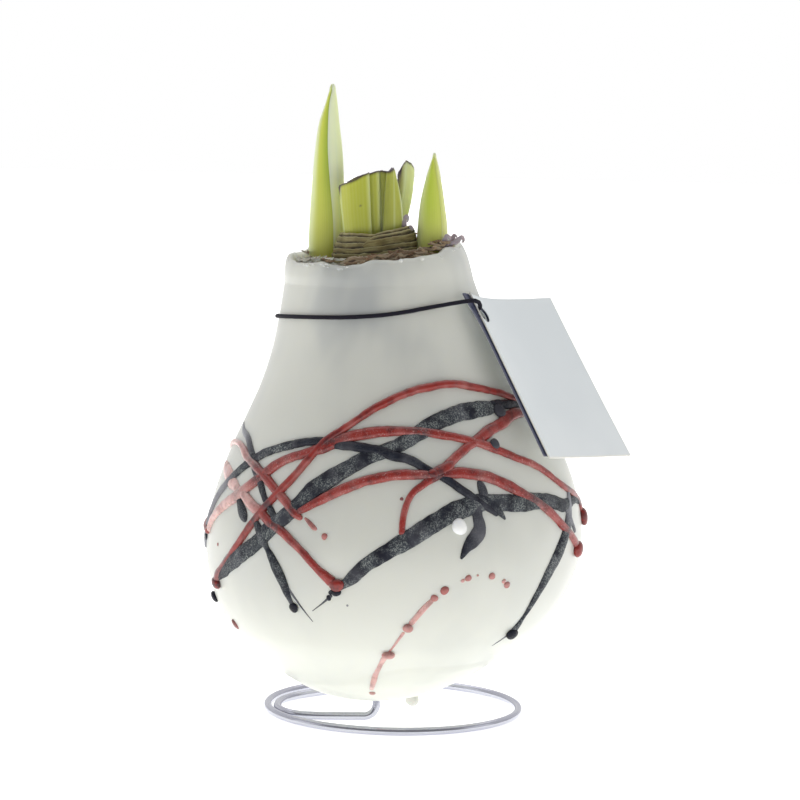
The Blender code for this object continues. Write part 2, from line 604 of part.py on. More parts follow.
def make_card(parts, tools):
    """The folded card: two leaves joined at the right, sprung apart at the left, with a punched hole."""
    across, down, out = card_frame()
    back = CARD_THICK + CARD_SPRING
    fold = CARD_WIDTH - 1.0
    outline = ((0, 0), (CARD_WIDTH, 0), (CARD_WIDTH, -2 * CARD_THICK - CARD_FOLD_GAP),
               (-CARD_BACK_LIP, -back - CARD_THICK), (-CARD_BACK_LIP, -back),
               (fold, -CARD_THICK - CARD_FOLD_GAP), (fold, -CARD_THICK), (0, -CARD_THICK))
    curve = bpy.data.curves.new("tag", "CURVE")
    curve.dimensions = "2D"
    curve.fill_mode = "BOTH"
    curve.extrude = CARD_HEIGHT / 2 * MM
    line = curve.splines.new("POLY")
    line.points.add(len(outline) - 1)
    line.use_cyclic_u = True
    for k, (x, y) in enumerate(outline):
        line.points[k].co = (x * MM, y * MM, 0, 1)
    obj = add("tag", curve, "card", parts)
    axes = Matrix((across, out, down)).transposed().to_4x4()
    middle = on_card(0, CARD_HEIGHT / 2, 0) * MM
    obj.matrix_world = Matrix.Translation(middle) @ axes
    bpy.context.view_layer.update()
    card = welded(realised(obj, parts))
    bpy.ops.mesh.primitive_cylinder_add(vertices=16, radius=HOLE_RADIUS * MM, depth=10 * MM)
    hole = bpy.context.object
    hole.name = "punched hole"
    lay = Matrix((down, across, out)).transposed().to_4x4()
    hole.matrix_world = Matrix.Translation(on_card(HOLE_ACROSS, HOLE_DOWN, -1.0) * MM) @ lay
    for owner in list(hole.users_collection):
        owner.objects.unlink(hole)
    tools.objects.link(hole)
    bpy.context.view_layer.update()
    return combine(card, [as_guide(hole)], "DIFFERENCE", parts)


def make_elastic(parts):
    """The elastic: one closed loop round the neck, over the card's edge and through its hole."""
    round_neck = [coat_point(angle, height, ELASTIC_RADIUS + GAP) for angle, height in ELASTIC_ROUND]
    at_card = [on_card(*place) for place in ELASTIC_AT_CARD]
    loop = smooth([tuple(p) for p in round_neck + at_card], 2.8, closed=True)
    return shade(tube("elastic_cord", loop, ELASTIC_RADIUS, "elastic", parts, cyclic=True))


def main():
    """Build every piece of the bulb."""
    clear_scene()
    parts = collection("waxed amaryllis bulb")
    tools = collection("tools")
    make_stand(parts)
    make_coat(parts, tools)
    make_bulb(parts, tools)
    make_sprout("tall", TALL_SPROUT, TALL_TIP, TALL_Y, parts)
    make_sprout("short", SHORT_SPROUT, SHORT_TIP, SHORT_Y, parts)
    for name in CUT_SHEETS:
        make_cut_sheet(name, parts)
    make_card(parts, tools)
    make_elastic(parts)


main()
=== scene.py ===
"""A waxed amaryllis bulb on its wire ring, with its sprouts, threads of coloured wax and card.

Lengths are in millimetres until a mesh is made, and angles are in degrees. An angle round the
bulb is 0 at the front, where the camera is, and grows to the right.
"""

from __future__ import annotations

import logging
import math
from dataclasses import dataclass, field
from enum import Enum
from typing import Sequence

import bpy
import numpy as np
from mathutils import Matrix


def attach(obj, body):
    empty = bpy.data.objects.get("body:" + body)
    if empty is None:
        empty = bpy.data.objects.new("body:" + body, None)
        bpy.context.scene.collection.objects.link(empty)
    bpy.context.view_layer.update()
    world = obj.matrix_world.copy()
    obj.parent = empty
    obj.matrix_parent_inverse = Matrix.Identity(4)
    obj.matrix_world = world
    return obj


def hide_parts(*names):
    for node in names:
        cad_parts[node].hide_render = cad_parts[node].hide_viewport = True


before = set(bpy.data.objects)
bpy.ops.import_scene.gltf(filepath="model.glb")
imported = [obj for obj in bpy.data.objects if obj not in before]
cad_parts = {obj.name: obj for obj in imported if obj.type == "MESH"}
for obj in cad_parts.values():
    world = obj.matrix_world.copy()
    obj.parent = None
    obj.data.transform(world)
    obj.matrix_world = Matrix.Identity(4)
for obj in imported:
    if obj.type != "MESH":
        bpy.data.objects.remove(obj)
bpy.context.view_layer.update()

MM = 0.001
BODY = "root"
STEPS_EACH_SPAN = 24
Array = np.ndarray
Colour = tuple[int, int, int]
log = logging.getLogger("bulb")


def ease(x: Array | float) -> Array:
    """A smooth step: 3 x squared less 2 x cubed, held at 0 and 1 outside its span."""
    t = np.clip(x, 0.0, 1.0)
    return t * t * (3.0 - 2.0 * t)


def ripple(x: Array, seed: float) -> Array:
    """Uneven wander between about -1 and 1: three sines whose lengths don't divide each other."""
    return 0.5 * np.sin(x + seed) + 0.3 * np.sin(2.3 * x + 2.1 * seed) + 0.2 * np.sin(5.1 * x + 3.7 * seed)


def unit(vectors: Array) -> Array:
    """Vectors divided by their own lengths."""
    return vectors / np.maximum(np.linalg.norm(vectors, axis=-1, keepdims=True), 1e-9)


def circle(count: int) -> Array:
    """Even angles once round, in radians."""
    return np.linspace(0.0, 2 * math.pi, count, endpoint=False)


def ball_angles(rows: int, columns: int) -> tuple[Array, Array]:
    """A ball's grid: angles down from one pole to the other, short of both, and angles round it."""
    return np.linspace(0.1, math.pi - 0.1, rows)[:, None], circle(columns)[None]


def run_along(points: Array) -> Array:
    """How far each point of a broken line is from its first, along the line."""
    return np.concatenate([[0.0], np.cumsum(np.linalg.norm(np.diff(points, axis=0), axis=1))])


def read_at(at: Array, run: Array, points: Array) -> Array:
    """The points of a broken line at some distances along it."""
    return np.stack([np.interp(at, run, column) for column in points.T], 1)


def spline(points: Sequence[Sequence[float]], count: int, closed: bool = False) -> Array:
    """Evenly spaced points on the smooth curve through some points.

    Each span is the Catmull-Rom cubic of its two ends and their neighbours. The curve is then
    read at equal steps of its own length.

    Args:
        points: the points that the curve passes through, with any number of columns.
        count: how many points to give back.
        closed: whether the curve runs from the last point back to the first.

    Returns:
        An array with count rows.
    """
    pts = np.asarray(points, float)
    ends = np.vstack([2 * pts[0] - pts[1], pts, 2 * pts[-1] - pts[-2]])
    if closed:
        ends = np.vstack([pts[-1:], pts, pts[:2]])
    a, b, c, d = ends[:-3, None], ends[1:-2, None], ends[2:-1, None], ends[3:, None]
    t = np.linspace(0.0, 1.0, STEPS_EACH_SPAN, endpoint=False)[None, :, None]
    cubic = 0.5 * (2 * b + (c - a) * t + (2 * a - 5 * b + 4 * c - d) * t**2 + (3 * b - a - 3 * c + d) * t**3)
    dense = cubic.reshape(-1, pts.shape[1])
    dense = np.vstack([dense, dense[:1] if closed else pts[-1:]])
    run = run_along(dense)
    return read_at(np.linspace(0.0, run[-1], count, endpoint=not closed), run, dense)


@dataclass
class Patch:
    """A grid of points that becomes part of a mesh.

    Attributes:
        grid: the points, with rows along the form and columns round it.
        around: whether the last column joins the first.
        first_tip: a single point that closes the first row.
        last_tip: a single point that closes the last row.
        values: named values for the material, one for each point or one for all.
        looped: whether the last row joins the first.
    """

    grid: Array
    around: bool = True
    first_tip: Array | None = None
    last_tip: Array | None = None
    values: dict[str, Array | float] = field(default_factory=dict)
    looped: bool = False


class MeshMaker:
    """Makes one mesh object out of patches, with a UV map and named values on its points."""

    def __init__(self, name: str, patches: Sequence[Patch]) -> None:
        """Keep the object's name and its patches."""
        self.name = name
        self.patches = patches

    @staticmethod
    def _faces(patch: Patch) -> tuple[Array, Array, Array, Array]:
        """A patch's quads and end triangles as point numbers, each with its UV corners.

        Quad (i, j) joins grid points (i, j), (i, j+1), (i+1, j+1) and (i+1, j), with j wrapped
        where the columns go all the way round.

        Args:
            patch: the grid and its tips.

        Returns:
            The quads, their UV corners, the triangles and their UV corners.
        """
        rows, cols = patch.grid.shape[:2]
        spans = cols if patch.around else cols - 1
        steps = rows if patch.looped else rows - 1
        i, j = np.meshgrid(np.arange(steps), np.arange(spans), indexing="ij")
        i, j = i.ravel(), j.ravel()
        right, above = (j + 1) % cols, (i + 1) % rows
        quads = np.stack([i * cols + j, i * cols + right, above * cols + right, above * cols + j], 1)
        u0, u1, v0, v1 = j / spans, (j + 1) / spans, i / steps, (i + 1) / steps
        quad_uv = np.stack([np.stack(p, 1) for p in ((u0, v0), (u1, v0), (u1, v1), (u0, v1))], 1)
        j = np.arange(spans)
        right = (j + 1) % cols
        tris, tri_uv = [np.zeros((0, 3), int)], [np.zeros((0, 3, 2))]
        tip = rows * cols
        mid = (j + 0.5) / spans
        if patch.first_tip is not None:
            tris.append(np.stack([right, j, np.full_like(j, tip)], 1))
            corners = (((j + 1) / spans, 0 * mid), (j / spans, 0 * mid), (mid, 0 * mid))
            tri_uv.append(np.stack([np.stack(p, 1) for p in corners], 1))
            tip += 1
        if patch.last_tip is not None:
            base = (rows - 1) * cols
            tris.append(np.stack([base + j, base + right, np.full_like(j, tip)], 1))
            corners = ((j / spans, 0 * mid + 1), ((j + 1) / spans, 0 * mid + 1), (mid, 0 * mid + 1))
            tri_uv.append(np.stack([np.stack(p, 1) for p in corners], 1))
        return quads, quad_uv, np.vstack(tris), np.vstack(tri_uv)

    def build(self) -> bpy.types.Object:
        """Make the object, with every closed patch facing outwards.

        A patch's faces are turned round where the volume they enclose, a sixth of the sum of each
        triangle's box product, comes out negative.

        Returns:
            The linked mesh object, at the origin.
        """
        points, loops, sizes, uvs = [], [], [], []
        values: dict[str, list[Array]] = {key: [] for patch in self.patches for key in patch.values}
        start = 0
        for patch in self.patches:
            own = [patch.grid.reshape(-1, 3)]
            own += [np.reshape(tip, (1, 3)) for tip in (patch.first_tip, patch.last_tip) if tip is not None]
            own_points = np.vstack(own)
            quads, quad_uv, tris, tri_uv = self._faces(patch)
            fans = np.vstack([quads[:, [0, 1, 2]], quads[:, [0, 2, 3]], tris])
            p, q, r = (own_points[fans[:, k]] - own_points.mean(0) for k in range(3))
            if np.einsum("ij,ij->", p, np.cross(q, r)) < 0:
                quads, quad_uv = quads[:, ::-1], quad_uv[:, ::-1]
                tris, tri_uv = tris[:, ::-1], tri_uv[:, ::-1]
            points.append(own_points)
            loops += [(quads + start).ravel(), (tris + start).ravel()]
            uvs += [quad_uv.reshape(-1, 2), tri_uv.reshape(-1, 2)]
            sizes += [np.full(len(quads), 4), np.full(len(tris), 3)]
            for key, kept in values.items():
                given = np.broadcast_to(patch.values.get(key, 0.0), patch.grid.shape[:2]).ravel()
                extra = len(own_points) - len(given)
                kept.append(np.concatenate([given, np.full(extra, given[-1])]))
            start += len(own_points)
        return self._mesh(np.vstack(points), np.concatenate(loops), np.concatenate(sizes),
                          np.vstack(uvs), values)

    def _mesh(self, points: Array, loops: Array, sizes: Array, uvs: Array,
              values: dict[str, list[Array]]) -> bpy.types.Object:
        """Put the arrays into a new mesh and link its object.

        Args:
            points: the points, in millimetres.
            loops: the point numbers of every face's corners, face after face.
            sizes: how many corners each face has.
            uvs: the UV place of every corner.
            values: the named values of the points, in parts that join up.

        Returns:
            The linked mesh object.
        """
        mesh = bpy.data.meshes.new(self.name)
        mesh.vertices.add(len(points))
        mesh.vertices.foreach_set("co", (points * MM).astype(np.float32).ravel())
        mesh.loops.add(len(loops))
        mesh.loops.foreach_set("vertex_index", loops.astype(np.int32))
        mesh.polygons.add(len(sizes))
        starts = np.concatenate([[0], np.cumsum(sizes)[:-1]])
        mesh.polygons.foreach_set("loop_start", starts.astype(np.int32))
        mesh.update(calc_edges=True)
        mesh.uv_layers.new(name="UVMap").data.foreach_set("uv", uvs.astype(np.float32).ravel())
        for key, kept in values.items():
            layer = mesh.attributes.new(key, "FLOAT", "POINT")
            layer.data.foreach_set("value", np.concatenate(kept).astype(np.float32))
        mesh.validate()
        mesh.shade_smooth()
        obj = bpy.data.objects.new(self.name, mesh)
        bpy.context.scene.collection.objects.link(obj)
        return obj


def tube(path: Array, half: Array | float, sides: int, reference: Array, flat: float = 1.0) -> Array:
    """The grid of a round or flattened tube along a path.

    Ring i is the path point plus half * (cos a * side + flat * sin a * up), where up is the
    reference direction made square to the path and side is square to both.

    Args:
        path: the middle line's points.
        half: the half width, one for each point or one for all.
        sides: how many points go round.
        reference: the direction of up, point by point.
        flat: the thickness as a share of the width.

    Returns:
        The grid, with a row for each point of the path.
    """
    along = unit(np.gradient(path, axis=0))
    up = unit(reference - along * np.sum(reference * along, 1, keepdims=True))
    side = np.cross(along, up)
    a = circle(sides)[None, :, None]
    reach = np.broadcast_to(half, len(path))[:, None, None]
    return path[:, None] + reach * (np.cos(a) * side[:, None] + flat * np.sin(a) * up[:, None])


def round_ends(path: Array, half: Array) -> Array:
    """How much of its width a tube keeps near its ends, so that they close as half circles.

    At a distance e from an end, inside the last half width h, it is the square root of
    1 - (1 - e/h) squared, and never less than the square root of the least share.

    Args:
        path: the middle line's points.
        half: the half width at each point.

    Returns:
        The share of the half width that each point keeps.
    """
    least = 0.004
    run = run_along(path)
    kept = np.ones(len(path))
    for distance in (run, run[-1] - run):
        inside = np.clip(1.0 - distance / half, 0.0, 1.0)
        kept = kept * np.sqrt(np.clip(1.0 - inside**2, least, 1.0))
    return kept


def linear(colour: Colour) -> tuple[float, float, float, float]:
    """A screen colour, 0 to 255, as the linear values that a shader reads."""
    parts = [c / 255 for c in colour]
    parts = [c / 12.92 if c <= 0.04045 else ((c + 0.055) / 1.055) ** 2.4 for c in parts]
    return (parts[0], parts[1], parts[2], 1.0)


class Recipe:
    """A material's node tree, with short calls for the nodes that the finishes share."""

    def __init__(self, name: str, **constants: float | tuple) -> None:
        """Start a material whose shader has the given constants on its own sockets."""
        self.material = bpy.data.materials.new(name)
        self.material.use_nodes = True
        self.tree = self.material.node_tree
        self.shader = self.tree.nodes["Principled BSDF"]
        for key, value in constants.items():
            self.shader.inputs[key.replace("_", " ")].default_value = value
        self.coordinates = self.tree.nodes.new("ShaderNodeTexCoord")

    def _plug(self, socket: bpy.types.NodeSocket, value: object) -> None:
        """Link a socket to another, or set its own value."""
        if isinstance(value, bpy.types.NodeSocket):
            self.tree.links.new(value, socket)
        else:
            socket.default_value = value

    def place(self, source: str = "Object", scale: tuple = (1, 1, 1), turn: tuple = (0, 0, 0)) -> object:
        """Object or UV coordinates, stretched and turned."""
        node = self.tree.nodes.new("ShaderNodeMapping")
        node.inputs["Scale"].default_value = scale
        node.inputs["Rotation"].default_value = turn
        self.tree.links.new(self.coordinates.outputs[source], node.inputs["Vector"])
        return node.outputs["Vector"]

    def value(self, name: str) -> object:
        """A value that the mesh carries on its points."""
        node = self.tree.nodes.new("ShaderNodeAttribute")
        node.attribute_name = name
        return node.outputs["Fac"]

    def noise(self, vector: object, scale: float, detail: float = 3.0, rough: float = 0.55) -> object:
        """Cloudy noise between 0 and 1."""
        node = self.tree.nodes.new("ShaderNodeTexNoise")
        node.inputs["Scale"].default_value = scale
        node.inputs["Detail"].default_value = detail
        node.inputs["Roughness"].default_value = rough
        self._plug(node.inputs["Vector"], vector)
        return node.outputs["Fac"]

    def waves(self, vector: object, scale: float, wander: float, detail: float = 2.0) -> object:
        """Bands across X, bent by noise."""
        node = self.tree.nodes.new("ShaderNodeTexWave")
        node.wave_type = "BANDS"
        node.bands_direction = "X"
        node.inputs["Scale"].default_value = scale
        node.inputs["Distortion"].default_value = wander
        node.inputs["Detail"].default_value = detail
        self._plug(node.inputs["Vector"], vector)
        return node.outputs["Fac"]

    def combine(self, how: str, first: object, second: object) -> object:
        """One step of arithmetic, kept between 0 and 1."""
        node = self.tree.nodes.new("ShaderNodeMath")
        node.operation = how
        node.use_clamp = True
        self._plug(node.inputs[0], first)
        self._plug(node.inputs[1], second)
        return node.outputs[0]

    def span(self, value: object, low: float, high: float, to_low: float = 0.0,
             to_high: float = 1.0) -> object:
        """A value's span stretched to another, with soft ends."""
        node = self.tree.nodes.new("ShaderNodeMapRange")
        node.interpolation_type = "SMOOTHSTEP"
        for key, number in (("From Min", low), ("From Max", high), ("To Min", to_low), ("To Max", to_high)):
            node.inputs[key].default_value = number
        self._plug(node.inputs["Value"], value)
        return node.outputs["Result"]

    def colours(self, amount: object, stops: Sequence[tuple[float, Colour]]) -> object:
        """A run of colours read by an amount."""
        node = self.tree.nodes.new("ShaderNodeValToRGB")
        node.color_ramp.interpolation = "EASE"
        ramp = node.color_ramp.elements
        for at, colour in stops[1:-1]:
            ramp.new(at).color = linear(colour)
        ramp[0].position, ramp[0].color = stops[0][0], linear(stops[0][1])
        ramp[-1].position, ramp[-1].color = stops[-1][0], linear(stops[-1][1])
        self._plug(node.inputs["Fac"], amount)
        return node.outputs["Color"]

    def mix(self, amount: object, first: object, second: object) -> object:
        """A blend of two colours, each a socket or a screen colour."""
        node = self.tree.nodes.new("ShaderNodeMix")
        node.data_type = "RGBA"
        self._plug(node.inputs["Factor"], amount)
        for socket, colour in ((node.inputs[6], first), (node.inputs[7], second)):
            self._plug(socket, linear(colour) if isinstance(colour, tuple) else colour)
        return node.outputs[2]

    def split(self, vector: object, axis: str) -> object:
        """One axis of a vector."""
        node = self.tree.nodes.new("ShaderNodeSeparateXYZ")
        self._plug(node.inputs[0], vector)
        return node.outputs[axis]

    def bump(self, height: object, strength: float, depth_mm: float, under: object = None) -> object:
        """Relief from a height between 0 and 1."""
        node = self.tree.nodes.new("ShaderNodeBump")
        node.inputs["Strength"].default_value = strength
        node.inputs["Distance"].default_value = depth_mm * MM
        self._plug(node.inputs["Height"], height)
        if under is not None:
            self._plug(node.inputs["Normal"], under)
        return node.outputs["Normal"]

    def finish(self, colour: object, normal: object = None, rough: object = None) -> bpy.types.Material:
        """Plug the colour, relief and roughness into the shader."""
        self._plug(self.shader.inputs["Base Color"], colour)
        if normal is not None:
            self._plug(self.shader.inputs["Normal"], normal)
        if rough is not None:
            self._plug(self.shader.inputs["Roughness"], rough)
        return self.material


@dataclass(frozen=True)
class WhiteWax:
    """Poured white paraffin: soft gloss, slightly clear, a little greyer where the bulb shows through."""

    body: Colour = (218, 219, 211)
    thin: Colour = (184, 187, 186)
    # fresh: not newer wax but painted floor light, the lighter colour that the coat takes towards its foot
    fresh: Colour = (226, 228, 220)
    # white: pure white laid on drops by their pale value, partly a painted highlight
    white: Colour = (252, 252, 250)

    def material(self) -> bpy.types.Material:
        """Thin-wax clouds on the neck and belly, painted floor light low down, a faint orange-peel surface.
        """
        r = Recipe("white wax", Roughness=0.32, Subsurface_Weight=0.35, Subsurface_Scale=0.004,
                   Coat_Weight=0.15, Coat_Roughness=0.2, IOR=1.44)
        r.shader.inputs["Subsurface Radius"].default_value = (1.0, 0.9, 0.7)
        flow = r.place(scale=(1.0, 1.0, 0.45))
        clouds = r.noise(flow, 38.0, 3.0)
        high = r.span(r.split(r.coordinates.outputs["Object"], "Z"), 0.085, 0.112)
        grey = r.combine("MULTIPLY", r.span(clouds, 0.42, 0.7), r.combine("ADD", 0.25, high))
        # painted floor light: below 45 mm the wax turns to the lighter colour, fully so at 8 mm
        low = r.span(r.split(r.coordinates.outputs["Object"], "Z"), 0.045, 0.008)
        colour = r.mix(grey, r.mix(low, self.body, self.fresh), self.thin)
        # partly painted highlight: drops with a pale value are whitened beyond the coat's own colour
        colour = r.mix(r.value("pale"), colour, self.white)
        broad = r.bump(r.noise(flow, 55.0, 2.0), 0.25, 0.5)
        return r.finish(colour, r.bump(r.noise(r.place(), 700.0, 2.0), 0.08, 0.06, broad))


@dataclass(frozen=True)
class RedWax:
    """Poured red wax, dark where thick, and pink where it is thin or has blushed."""

    deep: Colour = (108, 20, 18)
    bright: Colour = (150, 40, 32)
    blush: Colour = (232, 194, 188)
    thick: Colour = (56, 20, 30)

    def material(self) -> bpy.types.Material:
        """Mottled red, with pale wax where the point value called pale says so."""
        r = Recipe("red wax", Roughness=0.3, Subsurface_Weight=0.2, Subsurface_Scale=0.0012,
                   Coat_Weight=0.25, Coat_Roughness=0.15)
        mottle = r.noise(r.place(), 420.0, 4.0, 0.6)
        red = r.mix(r.span(mottle, 0.3, 0.55), self.deep, self.bright)
        specks = r.span(r.noise(r.place(), 2600.0, 3.0, 0.7), 0.54, 0.74)
        chalk = r.combine("MULTIPLY", specks, r.value("dry"))
        stain = r.span(r.noise(r.place(), 800.0, 3.0, 0.7), 0.3, 0.58)
        red = r.mix(r.combine("MULTIPLY", r.value("thick"), stain), red, self.thick)
        thin = r.combine("MULTIPLY", r.value("pale"), r.span(mottle, 0.3, 0.6, 0.65, 1.25))
        colour = r.mix(r.combine("ADD", thin, chalk), red, self.blush)
        return r.finish(colour, r.bump(mottle, 0.15, 0.2))


@dataclass(frozen=True)
class NavyWax:
    """Poured navy wax, dull and porous, with a fine grey speckle where it was drawn out wide."""

    deep: Colour = (12, 13, 30)
    grey: Colour = (30, 34, 48)
    dusty: Colour = (66, 72, 78)
    speck: Colour = (158, 163, 160)
    faded: Colour = (186, 186, 194)

    def material(self) -> bpy.types.Material:
        """Dark wax with a pitted grey speckle that follows the point value called dry."""
        r = Recipe("navy wax", Roughness=0.42, Specular_IOR_Level=0.25)
        mottle = r.noise(r.place(), 260.0, 3.0, 0.6)
        dry = r.value("dry")
        patches = r.span(r.noise(r.place(), 300.0, 2.0), 0.3, 0.62)
        dust = r.combine("MULTIPLY", dry, patches)
        base = r.mix(r.span(mottle, 0.35, 0.7), self.deep, self.grey)
        base = r.mix(r.combine("MULTIPLY", dust, 0.75), base, self.dusty)
        fine = r.span(r.noise(r.place(), 2900.0, 4.0, 0.75), 0.47, 0.62)
        colour = r.mix(r.combine("MULTIPLY", fine, dust), base, self.speck)
        colour = r.mix(r.value("pale"), colour, self.faded)
        normal = r.bump(fine, 0.35, 0.2)
        return r.finish(colour, normal, r.span(dry, 0.0, 1.0, 0.22, 0.62))


@dataclass(frozen=True)
class BrightWire:
    """Drawn and plated steel wire."""

    metal: Colour = (206, 207, 216)
    dull: Colour = (164, 165, 182)

    def material(self) -> bpy.types.Material:
        """Long faint drawing lines that follow the wire's own length."""
        r = Recipe("bright wire", Metallic=1.0, Roughness=0.16)
        lines = r.noise(r.place("UV", (40.0, 3.0, 1.0)), 6.0, 3.0)
        colour = r.mix(r.span(lines, 0.4, 0.65), self.metal, self.dull)
        return r.finish(colour, r.bump(lines, 0.12, 0.05), r.span(lines, 0.3, 0.7, 0.12, 0.26))


@dataclass(frozen=True)
class LeafSkin:
    """A fresh leaf: waxy, with fine veins along it, pale margins and some painted highlights."""

    name: str
    left: Colour
    middle: Colour
    right: Colour
    foot: Colour
    turn: float = 0.42
    vein: Colour = (206, 212, 122)
    # edge: the colour of pale margins, also used for painted highlights
    edge: Colour = (232, 244, 204)
    burn: Colour = (56, 32, 60)

    def material(self) -> bpy.types.Material:
        """Colour runs across by the point value across, and turns towards the foot's by rise."""
        r = Recipe(self.name, Roughness=0.4, Subsurface_Weight=0.35, Subsurface_Scale=0.002,
                   Coat_Weight=0.1, Coat_Roughness=0.3)
        r.shader.inputs["Subsurface Radius"].default_value = (0.9, 1.0, 0.6)
        across, rise = r.value("across"), r.value("rise")
        skin = r.colours(across, ((0.0, self.left), (self.turn, self.middle), (1.0, self.right)))
        cloud = r.noise(r.place(scale=(1, 1, 0.3)), 260.0, 3.0)
        skin = r.mix(r.combine("MULTIPLY", r.span(cloud, 0.3, 0.8), 0.3), skin, self.middle)
        skin = r.mix(r.combine("MULTIPLY", r.span(rise, 0.6, 0.0), 0.85), skin, self.foot)
        veins = r.waves(r.place("UV", (1, 0.02, 1)), 13.0, 6.0)
        broad = r.noise(r.place("UV", (9.0, 0.5, 1.0)), 3.0, 2.0)
        skin = r.mix(r.combine("MULTIPLY", r.combine("MULTIPLY", veins, broad), 0.25), skin, self.vein)
        # the point value margin_and_highlight lays on pale margins and painted highlights
        skin = r.mix(r.value("margin_and_highlight"), skin, self.edge)
        skin = r.mix(r.value("cut"), skin, self.burn)
        return r.finish(skin, r.bump(veins, 0.15, 0.1))


@dataclass(frozen=True)
class DryScale:
    """Papery outer scales of the bulb, olive to brown, split along their fibres."""

    name: str = "dry scale"
    light: Colour = (166, 156, 104)
    middle: Colour = (124, 112, 66)
    dark: Colour = (72, 58, 36)
    lit: Colour = (200, 192, 146)
    # deep: the colour of painted shade in the scales' creases, and of the darker scraps
    deep: Colour = (44, 34, 22)

    def material(self) -> bpy.types.Material:
        """Fibres along its length; values tint and shade lighten and darken it, painted light on the scales.
        """
        r = Recipe(self.name, Roughness=0.72, Subsurface_Weight=0.08, Subsurface_Scale=0.001)
        fibres = r.noise(r.place("UV", (3.0, 1.6, 1.0)), 5.0, 5.0, 0.6)
        cloud = r.noise(r.place(), 240.0, 3.0)
        amount = r.combine("ADD", r.combine("MULTIPLY", fibres, 0.7), r.combine("MULTIPLY", cloud, 0.35))
        colour = r.colours(amount, ((0.32, self.dark), (0.5, self.middle), (0.68, self.light)))
        colour = r.mix(r.value("tint"), colour, self.lit)
        colour = r.mix(r.value("shade"), colour, self.deep)
        return r.finish(colour, r.bump(fibres, 0.5, 0.3))


@dataclass(frozen=True)
class WovenElastic:
    """Round elastic: a fine braid over a rubber core."""

    dark: Colour = (10, 8, 20)
    light: Colour = (46, 40, 70)

    def material(self) -> bpy.types.Material:
        """Two sets of slanted bands, whose crossing gives the braid."""
        r = Recipe("woven elastic", Roughness=0.7, Specular_IOR_Level=0.25)
        one = r.waves(r.place("UV", (3.0, 150.0, 1.0), (0, 0, 0.35)), 1.0, 0.4)
        two = r.waves(r.place("UV", (-3.0, 150.0, 1.0), (0, 0, 0.35)), 1.0, 0.4)
        braid = r.combine("MULTIPLY", one, two)
        fuzz = r.noise(r.place(), 2600.0, 2.0)
        colour = r.mix(r.combine("MULTIPLY", braid, fuzz), self.dark, self.light)
        return r.finish(colour, r.bump(braid, 0.7, 0.12))


@dataclass(frozen=True)
class SatinCard:
    """Coated card with a satin face, silver-grey outside and slate on its inner faces."""

    face: Colour = (240, 245, 247)
    deep: Colour = (233, 239, 242)
    slate: Colour = (62, 66, 98)
    worn: Colour = (240, 236, 224)

    def material(self) -> bpy.types.Material:
        """A slow drift of tone, a very fine paper tooth, dark inner faces and cream cut edges."""
        r = Recipe("satin card", Roughness=0.36, Coat_Weight=0.3, Coat_Roughness=0.18)
        drift = r.noise(r.place(), 26.0, 2.0)
        tooth = r.noise(r.place(), 2200.0, 3.0)
        colour = r.mix(r.span(drift, 0.35, 0.65), self.face, self.deep)
        colour = r.mix(r.value("inner"), colour, self.slate)
        colour = r.mix(r.value("edge"), colour, self.worn)
        return r.finish(colour, r.bump(tooth, 0.06, 0.03), r.span(tooth, 0.3, 0.7, 0.32, 0.42))


@dataclass(frozen=True)
class PaleFloor:
    """A plain white sweep of paper."""

    glow: float = 0.75

    def material(self) -> bpy.types.Material:
        """White paper with a barely seen grain, lit a little from below like a light table."""
        r = Recipe("pale floor", Roughness=0.85, Emission_Strength=self.glow)
        r.shader.inputs["Emission Color"].default_value = (1.0, 1.0, 0.98, 1.0)
        grain = r.noise(r.place(), 90.0, 3.0)
        return r.finish(r.mix(grain, (246, 246, 246), (250, 250, 250)))


def dress(obj: bpy.types.Object, material: bpy.types.Material, slot: str, *nodes: str) -> None:
    """Give a piece its finish and its body, and hide the CAD nodes that it stands for.

    Args:
        obj: the piece.
        material: its finish.
        slot: the material slot that it would be listed under; not used.
        nodes: the CAD nodes that it replaces, if any.
    """
    obj.data.materials.append(material)
    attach(obj, BODY)
    if nodes:
        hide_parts(*nodes)
    log.info("%s: %d points", obj.name, len(obj.data.vertices))


